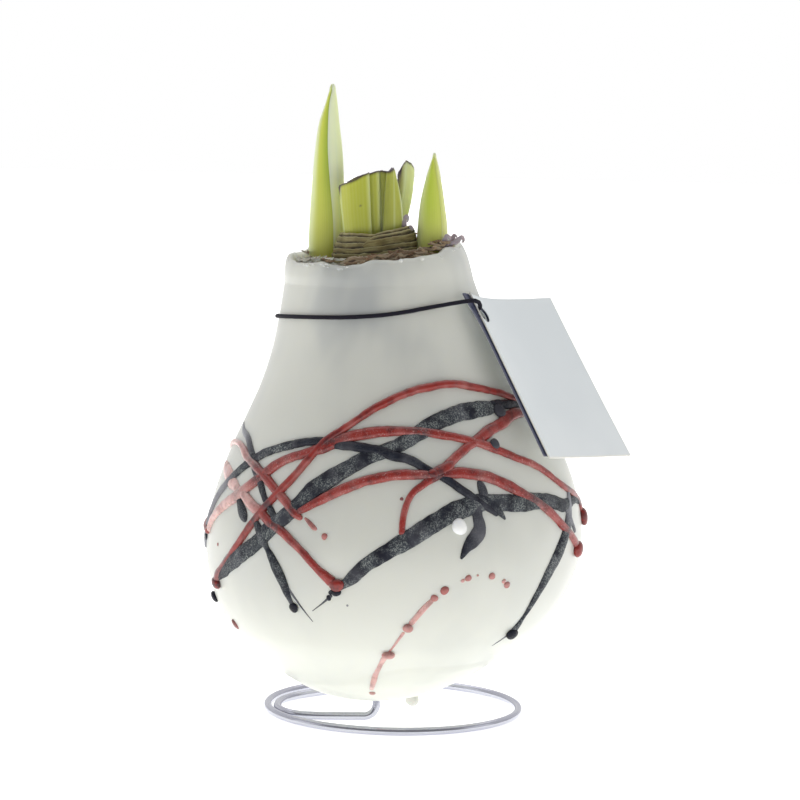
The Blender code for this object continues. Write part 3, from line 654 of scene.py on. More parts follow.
@dataclass
class BulbForm:
    """The waxed bulb's outer form: a leaning pear, turned from an outline.

    Attributes:
        outline: radius and height from the middle of the base to the neck.
        lean: height and sideways place of the bulb's own middle line.
        rim: radius and height over the rolled rim and down inside it.
        rim_start: the height from which the neck's slope raises the form.
        rim_top: the height from which it is raised in full.
    """

    outline: tuple = ((0, 5.5), (8, 6.2), (14, 7.8), (20, 10.6), (26, 14.0), (32, 18.6), (37, 22.6),
                      (40.4, 26.2), (44, 32), (46.6, 39), (47.8, 46.5), (47.2, 54), (45.2, 62), (42.2, 70),
                      (38.2, 78), (33.9, 86), (29.8, 95), (26.2, 105), (23.8, 112))
    lean: tuple = ((5, -10.4), (35, -6.3), (65, -4.8), (90, -6.6), (118, -11.9))
    rim: tuple = ((23.8, 112.0), (23.2, 115.0), (22.3, 117.3), (21.3, 118.2), (20.4, 117.8), (19.9, 115.6),
                  (20.2, 112.0))
    rim_start: float = 108.0
    rim_top: float = 118.2

    def __post_init__(self) -> None:
        """Work out the fine outline and the middle line's curve."""
        self.fine = spline(self.outline, 400)
        self.line = np.polyfit(*np.array(self.lean, float).T, 4)

    def radius(self, height: Array) -> Array:
        """The radius at a height, read from the fine outline."""
        return np.interp(height, self.fine[:, 1], self.fine[:, 0])

    def middle(self, height: Array) -> Array:
        """The sideways place of the middle line at a height, a curve of the fourth degree."""
        return np.polyval(self.line, height)

    def relief(self, turn: Array, height: Array) -> Array:
        """How far the dipped wax stands out from the plain form.

        Slow swells all over, shallow runs down the neck, and the thicker second dip that ends in
        a wavy step low on the belly.
        """
        swell = 0.16 * np.sin(2 * turn + 0.7 + height / 23) * np.sin(height / 17 + 1.1)
        swell = swell + 0.09 * np.sin(5 * turn - height / 9) * np.sin(height / 13)
        runs = 0.11 * np.sin(9 * turn + 1.3 + 0.4 * np.sin(3 * turn)) * ease((height - 96) / 12)
        line = 15.5 + 3.2 * np.sin(turn + 0.2) + 1.5 * np.sin(3 * turn + 0.5) + 0.5 * np.sin(8 * turn)
        dip = 0.38 * (1 - ease((height - line + 0.7) / 1.4)) * ease((height - 5.5) / 5)
        return swell * ease((height - 6) / 14) + runs + dip

    def rim_lift(self, turn: Array, height: Array) -> Array:
        """How far the neck's end is raised: it slopes up to the back and right and is torn."""
        torn = 0.35 * np.sin(7 * turn + 0.6) + 0.25 * np.sin(11 * turn + 2.0)
        torn = torn + 0.10 * np.sin(19 * turn + 1.0) + 0.07 * np.sin(31 * turn + 2.2)
        rise = 2.2 - 2.4 * np.cos(turn) + 2.2 * np.sin(turn) + torn
        return rise * ease((height - self.rim_start) / (self.rim_top - self.rim_start))

    def normal(self, angle: Array, height: Array) -> Array:
        """The direction square to the form at an angle and height."""
        turn = np.radians(angle)
        slope = self.radius(height + 0.5) - self.radius(height - 0.5)
        return unit(np.stack([np.sin(turn), -np.cos(turn), -slope + 0 * turn], -1))

    def place(self, angle: Array, height: Array, out: Array | float = 0.0) -> Array:
        """A point on the wax, or a distance out from it along its normal."""
        turn = np.radians(angle)
        reach = self.radius(height)
        x = self.middle(height) + reach * np.sin(turn)
        base = np.stack([x, -reach * np.cos(turn), height + 0 * turn], -1)
        return base + self.normal(angle, height) * np.asarray(self.relief(turn, height) + out)[..., None]


@dataclass
class WaxCoat:
    """The white wax over the bulb, with its rolled and torn rim.

    Attributes:
        rim_outside: the share of the rim's rows that follow the coat's own relief.
        inner_wave: how far the rim's inside waves in and out.
    """

    form: BulbForm
    columns: int = 340
    body_rows: int = 170
    rim_rows: int = 54
    rim_outside: float = 0.45
    inner_wave: float = 0.06

    def build(self) -> bpy.types.Object:
        """Turn the outline about the leaning middle line.

        A point is the outline's own point, moved by the relief square to the outline, turned by
        the column's angle, moved sideways with the middle line and raised with the rim.
        """
        body = spline(self.form.outline, self.body_rows)
        rim = spline(self.form.rim, self.rim_rows)
        outline = np.vstack([body[1:-1], rim])
        along = unit(np.gradient(outline, axis=0))
        out = np.stack([along[:, 1], -along[:, 0]], 1)
        turn = np.linspace(-math.pi, math.pi, self.columns, endpoint=False)[None]
        height = outline[:, 1, None]
        outside = np.arange(len(outline))[:, None] < len(body) + self.rim_rows * self.rim_outside
        moved = np.where(outside, self.form.relief(turn, height), self.inner_wave * np.sin(13 * turn))
        reach = outline[:, 0, None] + out[:, 0, None] * moved
        z = height + out[:, 1, None] * moved
        x = reach * np.sin(turn) + self.form.middle(z)
        grid = np.stack([x, -reach * np.cos(turn), z + self.form.rim_lift(turn, z)], -1)
        lowest = self.form.outline[0][1]
        foot = np.array([self.form.middle(lowest), 0.0, lowest])
        return MeshMaker("white_wax_coat", [Patch(grid, True, foot, grid[-1].mean(0))]).build()


class ThreadColour(Enum):
    """The waxes that were poured over the coat."""

    RED = "red"
    NAVY = "navy"
    WHITE = "white"


@dataclass(frozen=True)
class Pour:
    """One poured thread of wax.

    Attributes:
        colour: which wax it is.
        route: angle, height and half width along it.
        pale: how far it is thinned to a blush, from 0 to 1.
        dry: how speckled and porous it is, from 0 to 1.
        over: how far it is raised where it lies on other threads.
        blush: the angle where it is blushed in full, the angle where that has faded out, and how far.
    """

    colour: ThreadColour
    route: tuple[tuple[float, float, float], ...]
    pale: float = 0.0
    dry: float = 0.15
    over: float = 0.0
    blush: tuple[float, float, float] = (-90.0, -60.0, 0.0)


@dataclass(frozen=True)
class Drop:
    """One loose drop: its wax, angle, height, radius, how tall it is drawn, how pale and how dark."""

    colour: ThreadColour
    angle: float
    height: float
    radius: float
    drawn: float = 1.0
    pale: float = 0.0
    thick: float = 0.0


RED, NAVY, WHITE = ThreadColour.RED, ThreadColour.NAVY, ThreadColour.WHITE

POURS: tuple[Pour, ...] = (
    Pour(RED, (
        (-69, 37, 1), (-66.5, 39.6, 0.9), (-62, 42.2, 0.75), (-57.5, 45, 0.8), (-52, 49.6, 0.9),
        (-47.5, 54.5, 0.95), (-42.5, 59.5, 1), (-38, 63.5, 1), (-33.5, 67.5, 1), (-29, 72, 1),
        (-24.5, 75.5, 1), (-17, 79, 0.95), (-8, 83, 0.95), (2, 86, 1), (13, 88, 1), (25, 89, 1),
        (37.5, 88, 0.95), (49.5, 86.5, 0.9), (60.5, 84.5, 0.9), (90, 80, 0.8), (130, 73, 0.8),
        (170, 66, 0.85), (210, 60, 0.8), (250, 52, 0.75), (282.5, 49, 0.9),
    ), dry=0.0, over=0.75),
    Pour(RED, (
        (-77.5, 49, 0.9), (-75.5, 52, 1.1), (-67.5, 56.5, 1.4), (-59, 60, 1.5), (-51.5, 64, 1.45),
        (-42.5, 69, 1.3), (-34, 71.5, 1.2), (-26, 73.5, 1.4), (-18, 76, 1.5), (-10, 77.3, 1.45),
        (-2, 78, 1.3), (14.5, 77.5, 1.1), (30.5, 75, 1.1), (45.5, 71, 1), (54, 68.5, 0.9), (62, 65, 0.9),
        (68.5, 62.5, 0.9), (82.5, 58.5, 0.85), (86, 56, 0.8), (87, 53.6, 1),
    ), dry=0.55, over=0.45, blush=(-80, -46, 0.75)),
    Pour(RED, (
        (-31, 58, 0.7), (-27.5, 59.6, 1), (-23, 61.8, 1.15), (-16, 64.5, 1.3), (-9, 66.5, 1.3),
        (0, 68, 1.25), (12.5, 68, 1.2), (21, 68.5, 1.35), (29, 67.5, 1.45), (36, 65.5, 1.4),
        (43.5, 62.5, 1.3), (51.5, 59, 1.2), (58.5, 55, 1.1), (65.5, 51.5, 1.1), (70, 49, 1.2),
        (72, 47.8, 1.3),
    ), dry=0.6, over=0.5),
    Pour(RED, (
        (122, 72, 0.9), (105, 75, 0.7), (88, 78, 0.75), (72, 80.5, 0.9), (58, 81.5, 1.3), (50, 81, 1.5),
        (44.5, 79.5, 1.6), (39, 78.5, 1.4), (35, 77.5, 1.5), (27, 75, 1.2), (21, 72.5, 1.15),
        (16.5, 70, 1.2), (12.5, 68, 1.3), (8.5, 66, 0.9), (5, 64, 0.85), (3, 61.2, 0.78), (2, 57.8, 0.75),
        (1.8, 54, 0.75),
    ), dry=0.35, over=0.35),
    Pour(RED, (
        (8.6, 67.2, 0.4), (11, 68, 1.2), (14.5, 69, 1.5), (17.5, 70.2, 1.2), (18.8, 71.4, 0.5),
    ), over=0.6),
    Pour(RED, (
        (-100, 68, 0.5), (-84, 71.2, 0.7), (-69.5, 71.5, 0.8), (-61, 69.5, 1.1), (-52, 67, 1.2),
        (-46, 65, 1.15), (-40.5, 62.6, 1.1), (-36.2, 60.4, 1.2), (-32.2, 58, 1.1), (-29, 56.6, 0.6),
    ), dry=0.3, over=0.55, blush=(-100, -44, 0.75)),
    Pour(RED, ((-28.3, 57, 0.25), (-26.5, 56, 0.6), (-24.7, 54.9, 0.65), (-23.6, 54.4, 0.3)), pale=0.35),
    Pour(RED, (
        (-59, 62, 0.9), (-53, 59.5, 1.3), (-49, 58, 1.35), (-45, 57, 1.3), (-40.5, 55, 1.2),
        (-36, 53.5, 1.1), (-32, 51.5, 1), (-27, 48.5, 0.95), (-22, 45, 1), (-18.2, 42.7, 1.3),
        (-16.6, 41.9, 1.6),
    ), dry=0.3, over=0.5, blush=(-60, -42, 0.6)),
    Pour(RED, (
        (-82, 66, 0.8), (-76, 65, 1.6), (-70, 63.8, 2), (-64, 62.3, 1.6), (-58, 61, 0.6),
    ), pale=0.7, dry=0.6),
    Pour(RED, ((-1.9, 12.4, 0.5), (-1.3, 16, 0.8), (0.2, 20, 0.6), (1.4, 23, 0.8)), pale=0.6),
    Pour(RED, ((1.8, 23.4, 0.35), (3.6, 26, 0.3), (6, 30, 0.45)), pale=0.5),
    Pour(RED, ((7.4, 32, 0.7), (10.5, 36, 0.75), (12.8, 38.4, 0.6)), pale=0.5),
    Pour(RED, ((140, 66, 0.7), (150, 61, 0.75), (158, 52, 0.7), (162, 42, 0.6), (164, 36, 1.2))),
    Pour(NAVY, (
        (-68.5, 37.8, 0.5), (-65, 39.6, 1.3), (-61.5, 41.3, 1.9), (-57.5, 43.5, 2.2), (-49.5, 47, 2.15),
        (-44, 50.3, 2.1), (-39.5, 54.2, 2.1), (-34.5, 57.3, 2.1), (-30.5, 60.6, 2.15), (-26.5, 64, 2.25),
        (-21.5, 66.6, 2.25), (-15, 69.6, 2.1), (-9.5, 71.9, 1.9), (-4, 73.5, 1.8), (2, 75.2, 1.9),
        (7.5, 77.3, 2), (15.5, 80.2, 2.1), (23.5, 81.8, 2.25), (30.5, 82.6, 2.2), (39, 83.2, 2.05),
        (44, 83.2, 1.8),
    ), dry=1.0),
    Pour(NAVY, (
        (41.5, 84, 0.8), (44, 83.9, 1.2), (48, 83.8, 1.25), (62, 83, 1.2), (95, 80, 1.1), (130, 74, 1.2),
        (165, 66, 1.3), (200, 57, 1.2), (235, 49, 1.1), (264, 45.5, 1), (279, 47.5, 1),
    ), dry=0.2, over=0.15),
    Pour(NAVY, (
        (-86, 44, 0.6), (-84, 47.5, 0.9), (-82, 51.5, 1), (-78.5, 55.5, 1.1), (-74, 59.5, 1.15),
        (-68, 63, 1.2), (-60.5, 67, 1.25), (-53.5, 70, 1.25), (-46.5, 72, 1.2), (-37, 74, 1.15),
    ), dry=0.8, over=0.25, blush=(-88, -60, 0.65)),
    Pour(NAVY, (
        (-39, 73.6, 1.1), (-28, 75, 1.1), (-20.5, 74.5, 1.15), (-13, 74, 1.25), (-6, 73.5, 1.25),
        (-1.5, 72.5, 1.25), (4, 71.5, 1.15), (10.5, 69, 1.05), (16, 67, 1), (21.5, 64, 1), (27, 61, 1),
        (32, 58.3, 0.6),
    ), dry=0.1, over=0.4),
    Pour(NAVY, (
        (26.5, 63.5, 0.5), (30, 61, 1.2), (32.8, 58.8, 0.8), (34.4, 57.2, 0.25),
    ), dry=0.5, over=0.35),
    Pour(NAVY, (
        (-18.4, 39.2, 0.5), (-15, 41, 0.8), (-11.5, 43.5, 1.5), (-8, 46.5, 1.75), (-4, 49, 1.9),
        (1.5, 52, 2.05), (6, 54.2, 2.2), (11.5, 57, 2.3), (17.5, 59.5, 2.35), (24.5, 61.2, 2.2),
        (30, 61.5, 2.05), (38, 60.9, 2.15), (47.5, 60.9, 2.15), (57, 60, 1.9), (64, 58.8, 1.6),
        (74, 59.3, 1.2), (88, 57.5, 1.1), (104, 52, 0.7),
    ), dry=1.0),
    Pour(NAVY, ((64, 58.5, 0.9), (67, 55, 0.9), (70.5, 51.5, 0.7)), dry=0.7, pale=0.3),
    Pour(NAVY, ((-23.8, 34.4, 0.1), (-20.4, 36.6, 0.2), (-17.4, 38.9, 0.45)), dry=0.3, pale=0.15),
    Pour(NAVY, (
        (-82, 76.5, 0.2), (-75, 75, 0.6), (-65.5, 73.3, 0.9), (-57, 69.5, 1.05), (-53, 66.5, 1),
        (-49, 64, 1), (-45, 60.5, 0.9), (-40.5, 57.5, 0.85), (-36.5, 54, 0.7),
    ), dry=0.4, over=0.2, blush=(-90, -52, 0.6)),
    Pour(NAVY, (
        (-47, 55, 0.6), (-44.5, 53, 1.2), (-42.5, 51, 1.25), (-40.2, 48.7, 0.75), (-38.2, 46.8, 1.1),
        (-35.5, 43.5, 1.5), (-33.4, 40.5, 1.2), (-32.2, 38, 0.8), (-31, 36, 0.6), (-30.1, 35, 0.9),
    ), dry=0.65, over=0.3),
    Pour(NAVY, ((-32.5, 40.2, 0.3), (-30, 37.6, 0.3), (-27, 34.6, 0.22), (-23.8, 31.6, 0.1)), pale=0.2),
    Pour(NAVY, ((26.6, 66.6, 0.5), (27.4, 65, 1.2), (28, 62.6, 1.3)), dry=0.35, over=0.1, pale=0.12),
    Pour(NAVY, (
        (25.4, 61.5, 1.2), (24.9, 58.5, 1.4), (25.4, 56, 1.6), (24.6, 54, 1.8), (22.7, 52.2, 1.7),
        (21, 50.5, 1.1), (19.6, 48.3, 0.3),
    ), dry=0.15, over=0.15, blush=(27.5, 22.8, 0.16)),
    Pour(NAVY, (
        (70, 62, 0.6), (67.5, 58.5, 1.2), (64.5, 54.5, 1.7), (61, 51, 1.9), (57.5, 47.5, 1.9),
        (54.5, 43.8, 1.8), (52.4, 40, 1.5), (51, 36.8, 1.2), (50.2, 34, 0.85), (49.6, 31.7, 0.7),
        (49.2, 29.7, 1.1), (48.6, 28, 1.4),
    ), dry=0.9, over=0.1, blush=(72, 61, 0.6)),
    Pour(NAVY, ((48, 27.4, 0.4), (46, 26.2, 0.24), (43.4, 24.6, 0.1)), pale=0.3),
    Pour(NAVY, (
        (-60.5, 61.5, 0.5), (-58, 59.2, 0.9), (-55, 57, 1.5), (-52.6, 55.4, 1.3), (-51, 54.4, 0.5),
    ), dry=0.45, over=0.1),
    Pour(NAVY, ((-150, 60, 0.9), (-158, 54, 1), (-163, 46, 0.9), (-165, 38, 0.7), (-165, 34, 1.3))),
    Pour(NAVY, ((196, 70, 0.8), (203, 63, 0.9), (206, 54, 0.8), (207, 47, 1.2))),
)

DROPS: tuple[Drop, ...] = (
    Drop(RED, -1, 11.2, 0.85, 1.1, 0.55), Drop(RED, 2.4, 24, 1.6, 0.62, 0.45),
    Drop(RED, 6.9, 31.2, 1.25, 1, 0.4), Drop(RED, 13.2, 38.8, 0.95, 1, 0.25),
    Drop(RED, 15.9, 40.7, 1.1, 1, 0.15), Drop(RED, -21, 53, 0.8, 1, 0.2),
    Drop(RED, 22.6, 43.6, 0.9, 0.9, 0.3), Drop(RED, 21, 43, 0.5, 1, 0.5),
    Drop(RED, 25.5, 44.2, 0.3, 1, 0.45), Drop(RED, 30.3, 43.8, 0.95, 0.9, 0.3),
    Drop(RED, 36.4, 41.3, 0.95, 0.9, 0.3), Drop(RED, 34.9, 42.3, 0.6, 1, 0.5),
    Drop(RED, -66.5, 26.5, 1, 1.6, 0.1, 0.5), Drop(RED, 1.5, 62.5, 0.45, 1, 0.1, 0.6),
    Drop(RED, -66.5, 47, 0.4, 1.2, 0.5), Drop(RED, -68.5, 37.2, 1.7, 0.95, 0, 0.9),
    Drop(RED, -15.9, 41.6, 1.85, 0.85, 0, 0.45), Drop(RED, 72, 47.2, 2.1, 1, 0, 0.2),
    Drop(RED, 87, 53.8, 1.9, 1.2, 0, 0.6), Drop(NAVY, 36, 74.6, 1.42, 1, 0.1),
    Drop(NAVY, 44.8, 82.2, 1.7, 1.1, 0.08), Drop(NAVY, -81.5, 32, 1.4, 1.1),
    Drop(NAVY, -12.5, 36.5, 0.28, 1, 0.5), Drop(NAVY, -30.1, 34.9, 1.15, 1.2),
    Drop(NAVY, -18.4, 38.1, 0.6, 1.3), Drop(NAVY, -16, 39.7, 1.2, 0.8), Drop(NAVY, 48.2, 27.9, 1.8, 0.8),
    # The white drop at 18.7 degrees and 56 mm is real wax, made pure white as a painted highlight.
    Drop(WHITE, 18.7, 56, 1.9, 1.05, 1), Drop(RED, 11.4, 68.2, 1.45, 0.8, 0, 0.75),
    Drop(WHITE, -57, 61, 1.1, 0.8, 0.6), Drop(WHITE, 118, 44, 1.8), Drop(WHITE, -140, 30, 2),
)


@dataclass
class PouredThreads:
    """All the poured threads and drops of one wax.

    Attributes:
        step: how far apart a thread's rows are.
        end_rows: how many rows round off each end.
        sink: how deep the foot is sunk into the coat.
        arc: the millimetres that one degree round the belly is taken as.
        dome: a drop's height as a share of its radius.
        crumb_height: the height on the form from which the rim's crumbs are raised.
    """

    form: BulbForm
    colour: ThreadColour
    columns: int = 18
    step: float = 0.5
    end_rows: int = 7
    sink: float = 0.3
    arc: float = 0.8
    dome: float = 0.6
    drop_grid: tuple[int, int] = (14, 24)
    crumb_height: float = 116.5
    crumb_seed: int = 11

    def _rows(self, half: Array, total: float) -> Array:
        """Where the rows go along a route: even steps, and closer ones inside the round ends.

        Args:
            half: the half width at the first end and the last.
            total: the route's length.

        Returns:
            Distances along the route, in order.
        """
        bend = 1 - np.cos(np.linspace(0.05, math.pi / 2, self.end_rows))
        first, last = bend * half[0], total - bend * half[-1]
        inner = np.arange(min(half[0], total / 2), max(total - half[-1], total / 2), self.step)
        rows = np.concatenate([[0.0], first, inner, last, [total]])
        return np.unique(np.clip(rows, 0, total).round(3))

    def _thread(self, pour: Pour, seed: float) -> Patch:
        """A low dome of wax along its route.

        The section is w cos a sideways and, above the coat, w t sin a upwards, where t is 0.5 for
        a thin thread and falls to 0.34 for a broad one. Below the coat a flat foot is sunk in. The
        half width w wanders along the length, both ends close as half rounds, and a thread that
        lies on others is raised by its own amount.

        Args:
            pour: the thread.
            seed: a number that makes its wander its own.

        Returns:
            The thread's patch, with how dry, pale and thick it is.
        """
        route = np.array(pour.route) * (self.arc, 1.0, 1.0)
        dense = spline(route, max(80, round(run_along(route[:, :2])[-1] / 0.12)))
        run = run_along(dense[:, :2])
        at = self._rows(np.maximum(dense[[0, -1], 2], 0.1), run[-1])
        fine = read_at(at, run, dense)
        half = np.maximum(fine[:, 2], 0.06)
        half = half * (1 + 0.08 * ripple(at / 2.6, seed) + 0.02 * ripple(at / 0.8, seed + 2))
        angle, height = fine[:, 0] / self.arc, fine[:, 1]
        height = height + 0.12 * ripple(at / 2.9, seed + 5) * np.minimum(half, 1.0)
        path = self.form.place(angle, height)
        closing = round_ends(path, half)
        half = half * closing
        up = self.form.normal(angle, height)
        side = unit(np.cross(unit(np.gradient(path, axis=0)), up))
        a = circle(self.columns)[None]
        tall = 0.5 - 0.16 * np.clip(half - 0.8, 0, 1)[:, None]
        lift = pour.over * np.minimum(1.0, half)[:, None] * closing[:, None]
        top = half[:, None] * tall * np.sin(a) * (1 + 0.04 * ripple(at / 0.6, seed + 1)[:, None])
        rise = np.where(np.sin(a) > 0, top + lift * np.sqrt(np.abs(np.sin(a))), self.sink * np.sin(a))
        reach = half[:, None] * np.cos(a)
        grid = path[:, None] + side[:, None] * reach[..., None] + up[:, None] * rise[..., None]
        dry = np.clip(pour.dry * (0.85 + 0.3 * ripple(at / 6, seed)), 0, 1)[:, None]
        begin, end, strength = pour.blush
        thin = strength * ease((end - angle) / (end - begin) * 1.6)
        is_red = pour.colour is RED
        edge = 0.1 * (1 - np.clip(np.sin(a), 0, 1)) * is_red
        thick = self._over_navy(fine[:, :2])[:, None] * is_red
        pale = np.clip((pour.pale + thin + 0.1 * ripple(at / 3, seed))[:, None] + edge, 0, 1)
        return Patch(grid, True, path[0], path[-1], {"dry": dry, "pale": pale, "thick": thick})

    def _over_navy(self, rows: Array) -> Array:
        """How far each row lies over a navy thread: 0.9 exp(-(distance / 1.5 mm) squared)."""
        near = np.full(len(rows), 99.0)
        for pour in POURS:
            if pour.colour is NAVY:
                route = spline(np.array(pour.route) * (self.arc, 1.0, 1.0), 160)[:, :2]
                near = np.minimum(near, np.linalg.norm(rows[:, None] - route[None], axis=2).min(1))
        return 0.9 * np.exp(-((near / 1.5) ** 2))

    def _drop(self, drop: Drop) -> Patch:
        """A low dome: r w sin b cos a sideways, r w d sin b sin a downhill and r h cos b outwards.

        The angle b runs from the top to the foot and a runs round. The radius is r, w is a slight
        wander round 1, d is how tall the drop is drawn and h is the dome's share. Larger drops
        stand out further.

        Args:
            drop: the drop.

        Returns:
            The drop's patch, with how dry, pale and thick it is.
        """
        b, a = ball_angles(*self.drop_grid)
        up = self.form.normal(drop.angle, drop.height)
        side = unit(np.cross(np.array([0.0, 0.0, 1.0]), up))
        down = np.cross(side, up)
        out = 0.3 * (drop.radius > 1.1) + 0.3 * (drop.radius > 1.4)
        middle = self.form.place(np.array(drop.angle), np.array(drop.height), out)
        wide = 1 + 0.05 * np.sin(2 * a + drop.angle) + 0.03 * np.sin(3 * a + drop.height)
        parts = ((side, np.sin(b) * np.cos(a) * wide), (down, drop.drawn * np.sin(b) * np.sin(a) * wide),
                 (up, self.dome * np.cos(b) + 0 * a))
        grid = middle + drop.radius * sum(part[..., None] * axis for axis, part in parts)
        tips = [middle + sign * up * drop.radius * self.dome for sign in (1, -1)]
        return Patch(grid, True, *tips, {"dry": 0.0, "pale": drop.pale, "thick": drop.thick})

    def crumbs(self) -> list[Patch]:
        """Small lumps of white wax along the rim, most at the left of the front, by a seeded draw."""
        draw = np.random.default_rng(self.crumb_seed)
        left, right, back = draw.normal(-42, 16, 16), draw.normal(50, 22, 7), draw.uniform(100, 260, 9)
        made = []
        for angle in np.concatenate([left, right, back]):
            radius = draw.uniform(0.25, 0.6)
            patch = self._drop(Drop(WHITE, angle, self.crumb_height, radius, draw.uniform(0.5, 1.1)))
            turn = math.radians(angle)
            lift = float(self.form.rim_lift(np.array(turn), np.array(118.0)))
            rise = np.array([-0.9 * math.sin(turn), 0.9 * math.cos(turn), lift + draw.uniform(1.0, 1.7)])
            tips = patch.first_tip + rise, patch.last_tip + rise
            made.append(Patch(patch.grid + rise, True, *tips, patch.values))
        return made

    def build(self) -> bpy.types.Object:
        """Lay every thread and drop of this wax."""
        patches = [self._thread(p, 1.7 * k) for k, p in enumerate(POURS) if p.colour is self.colour]
        patches += [self._drop(d) for d in DROPS if d.colour is self.colour]
        patches += self.crumbs() if self.colour is WHITE else []
        return MeshMaker(f"{self.colour.value}_wax_threads", patches).build()


@dataclass
class WireStand:
    """The stand: spike, run out to the left, a turn inside, then the whole ring, in one wire.

    Attributes:
        half: the wire's half thickness.
        ring: the ring's middle, as x and y, and its radius.
        spike: the spike's place, as x and y, and the height of its tip.
        bend: the radius of the bend at the spike's foot.
        inward: the turn inside the ring, from its middle.
        ring_turns: the ring's first angle, its last and the step, in degrees.
        passing: how much further out the ring's end lies, so that it passes the inner turn.
        sharpened: how many rows the spike's point takes.
    """

    half: float = 1.05
    ring: tuple[float, float, float] = (-4.5, 12.0, 32.6)
    spike: tuple[float, float, float] = (-8.9, -2.2, 30.5)
    bend: float = 3.2
    inward: tuple = ((-9.8, -14.3), (-19.8, -14.9), (-25.6, -13.2), (-29.4, -7.8), (-30.2, -1), (-29.0, 5.5),
                     (-25.4, 11.4), (-19.5, 17.0), (-10.5, 24.2), (0.5, 30.0), (8.6, 31.5))
    ring_turns: tuple[float, float, float] = (68.0, -252.0, -4.0)
    passing: float = 0.35
    sharpened: int = 6
    sides: int = 24

    def path(self) -> tuple[Array, Array]:
        """Work out the wire's middle line, with one smooth curve for all that lies flat.

        Returns:
            The line's points, and the direction that the wire's top faces at each.
        """
        x, y, top = self.spike
        cx, cy, radius = self.ring
        rise = np.linspace(top, self.half + self.bend, 30)[:-1]
        shaft = np.stack([0 * rise + x, 0 * rise + y, rise], 1)
        a = np.linspace(0, math.pi / 2, 14)
        out, up = self.bend * (1 - np.cos(a)), self.bend * (1 - np.sin(a))
        elbow = np.stack([x - out, 0 * a + y, self.half + up], 1)
        turn = np.radians(np.arange(*self.ring_turns))
        reach = radius + self.passing * np.clip((-np.degrees(turn) - 120) / 60, 0, 1)
        ring = np.stack([reach * np.cos(turn), reach * np.sin(turn)], 1)
        start = (x - self.bend - 1.0, y)
        flat = spline(np.vstack([start, np.vstack([self.inward, ring]) + (cx, cy)]), 320)
        level = np.column_stack([flat, np.full(len(flat), self.half)])
        path = np.vstack([shaft, elbow, level])
        side = np.array([0.0, -1.0, 0.0])
        stood = len(shaft) + len(elbow)
        top_faces = np.tile([0.0, 0.0, 1.0], (len(path), 1))
        along = unit(np.gradient(path, axis=0))
        top_faces[:stood] = np.cross(along[:stood], side)
        return path, top_faces

    def build(self) -> bpy.types.Object:
        """Carry a round section along the wire, sharpened at the spike and cut square at the end."""
        path, up = self.path()
        half = np.full(len(path), self.half)
        half[:self.sharpened] *= np.linspace(0.15, 1.0, self.sharpened)
        grid = tube(path, half, self.sides, up)
        return MeshMaker("steel_wire_stand", [Patch(grid, True, path[0], path[-1])]).build()


@dataclass
class Sprout:
    """Two young leaves pressed face to face.

    Attributes:
        name: what the pair is called.
        levels: height, left edge, right edge, half depth and seam.
        tip: sideways place and height of the tip.
        middle: how far back the pair stands.
        pale: how strong the right leaf's pale lines are, from 0 to 1; they are partly painted highlights.
        gap: the space between the two flat faces.
        shows_from: the height where the leaf comes out of the neck.
    """

    name: str
    levels: tuple
    tip: tuple[float, float]
    middle: float
    pale: float
    gap: float = 0.03
    rows: int = 90
    columns: int = 64
    shows_from: float = 118.0

    def _leaf(self, side: int) -> Patch:
        """One leaf of the pair, as a D-shaped section that narrows to the tip.

        The round face takes three quarters of the points and runs on the ellipse
        (middle + w cos a, depth sin a). The flat face runs straight back along the seam.

        Args:
            side: -1 for the left leaf and 1 for the right one.

        Returns:
            The leaf's patch, with its place across, its rise, and its pale lines that are partly painted
            highlights.
        """
        height, left, right, depth, seam = spline(self.levels, self.rows).T
        centre, half = (left + right) / 2, (right - left) / 2
        cut = np.clip((seam + side * self.gap / 2 - centre) / half, -0.93, 0.93)
        start = np.arccos(cut)
        round_count = self.columns * 3 // 4
        t = np.linspace(0, 1, round_count)[None]
        if side < 0:
            a = start[:, None] + (2 * math.pi - 2 * start[:, None]) * t
        else:
            a = -start[:, None] + 2 * start[:, None] * t
        x = centre[:, None] + half[:, None] * np.cos(a)
        y = depth[:, None] * np.sin(a)
        back = np.linspace(1, 0, self.columns - round_count + 2)[None, 1:-1]
        seam_y = y[:, :1] + (y[:, -1:] - y[:, :1]) * back
        seam_x = x[:, :1] + 0 * back
        x, y = np.hstack([x, seam_x]), np.hstack([y, seam_y]) + self.middle
        grid = np.stack([x, y, height[:, None] + 0 * x], -1)
        tip = np.array([self.tip[0] + side * 0.05, self.middle, self.tip[1]])
        last, far = grid[-1], ease(np.linspace(0, 1, 9))[1:-1, None, None]
        rest = tip + (last - tip) * np.sqrt(1 - far**2)
        rest[..., 2] = last[:, 2] + (tip[2] - last[:, 2]) * far[..., 0]
        grid = np.vstack([grid, rest])
        wide = (grid[..., 0] - grid[..., 0].min(1, keepdims=True)) / np.ptp(grid[..., 0], axis=1)[:, None]
        rise = (grid[..., 2] - self.shows_from) / (tip[2] - self.shows_from)
        if side > 0:
            # the right leaf's pale lines: partly real pale stripes, partly painted highlights
            lines = np.exp(-(((wide - 0.10) / 0.07) ** 2)) + 0.7 * np.exp(-(((wide - 0.58) / 0.06) ** 2))
            margin_and_highlight = self.pale * (0.8 * lines * ease((0.95 - rise) / 0.5) + 0.3 * ease((rise - 0.35) / 0.3))
        else:
            margin_and_highlight = 0.55 * np.exp(-((wide / 0.2) ** 2))
        margin_and_highlight = margin_and_highlight + 0.5 * ease((rise - 0.93) / 0.07)
        values = {"across": wide, "rise": np.clip(rise, 0, 1), "margin_and_highlight": np.clip(margin_and_highlight, 0, 1), "cut": 0.0}
        return Patch(grid, True, grid[0].mean(0), tip, values)

    def build(self, side: int, word: str) -> bpy.types.Object:
        """Make the left leaf with side -1 or the right leaf with side 1."""
        obj = MeshMaker(f"{self.name}_{word}", [self._leaf(side)]).build()
        obj.data.set_sharp_from_angle(angle=math.radians(50))
        return obj


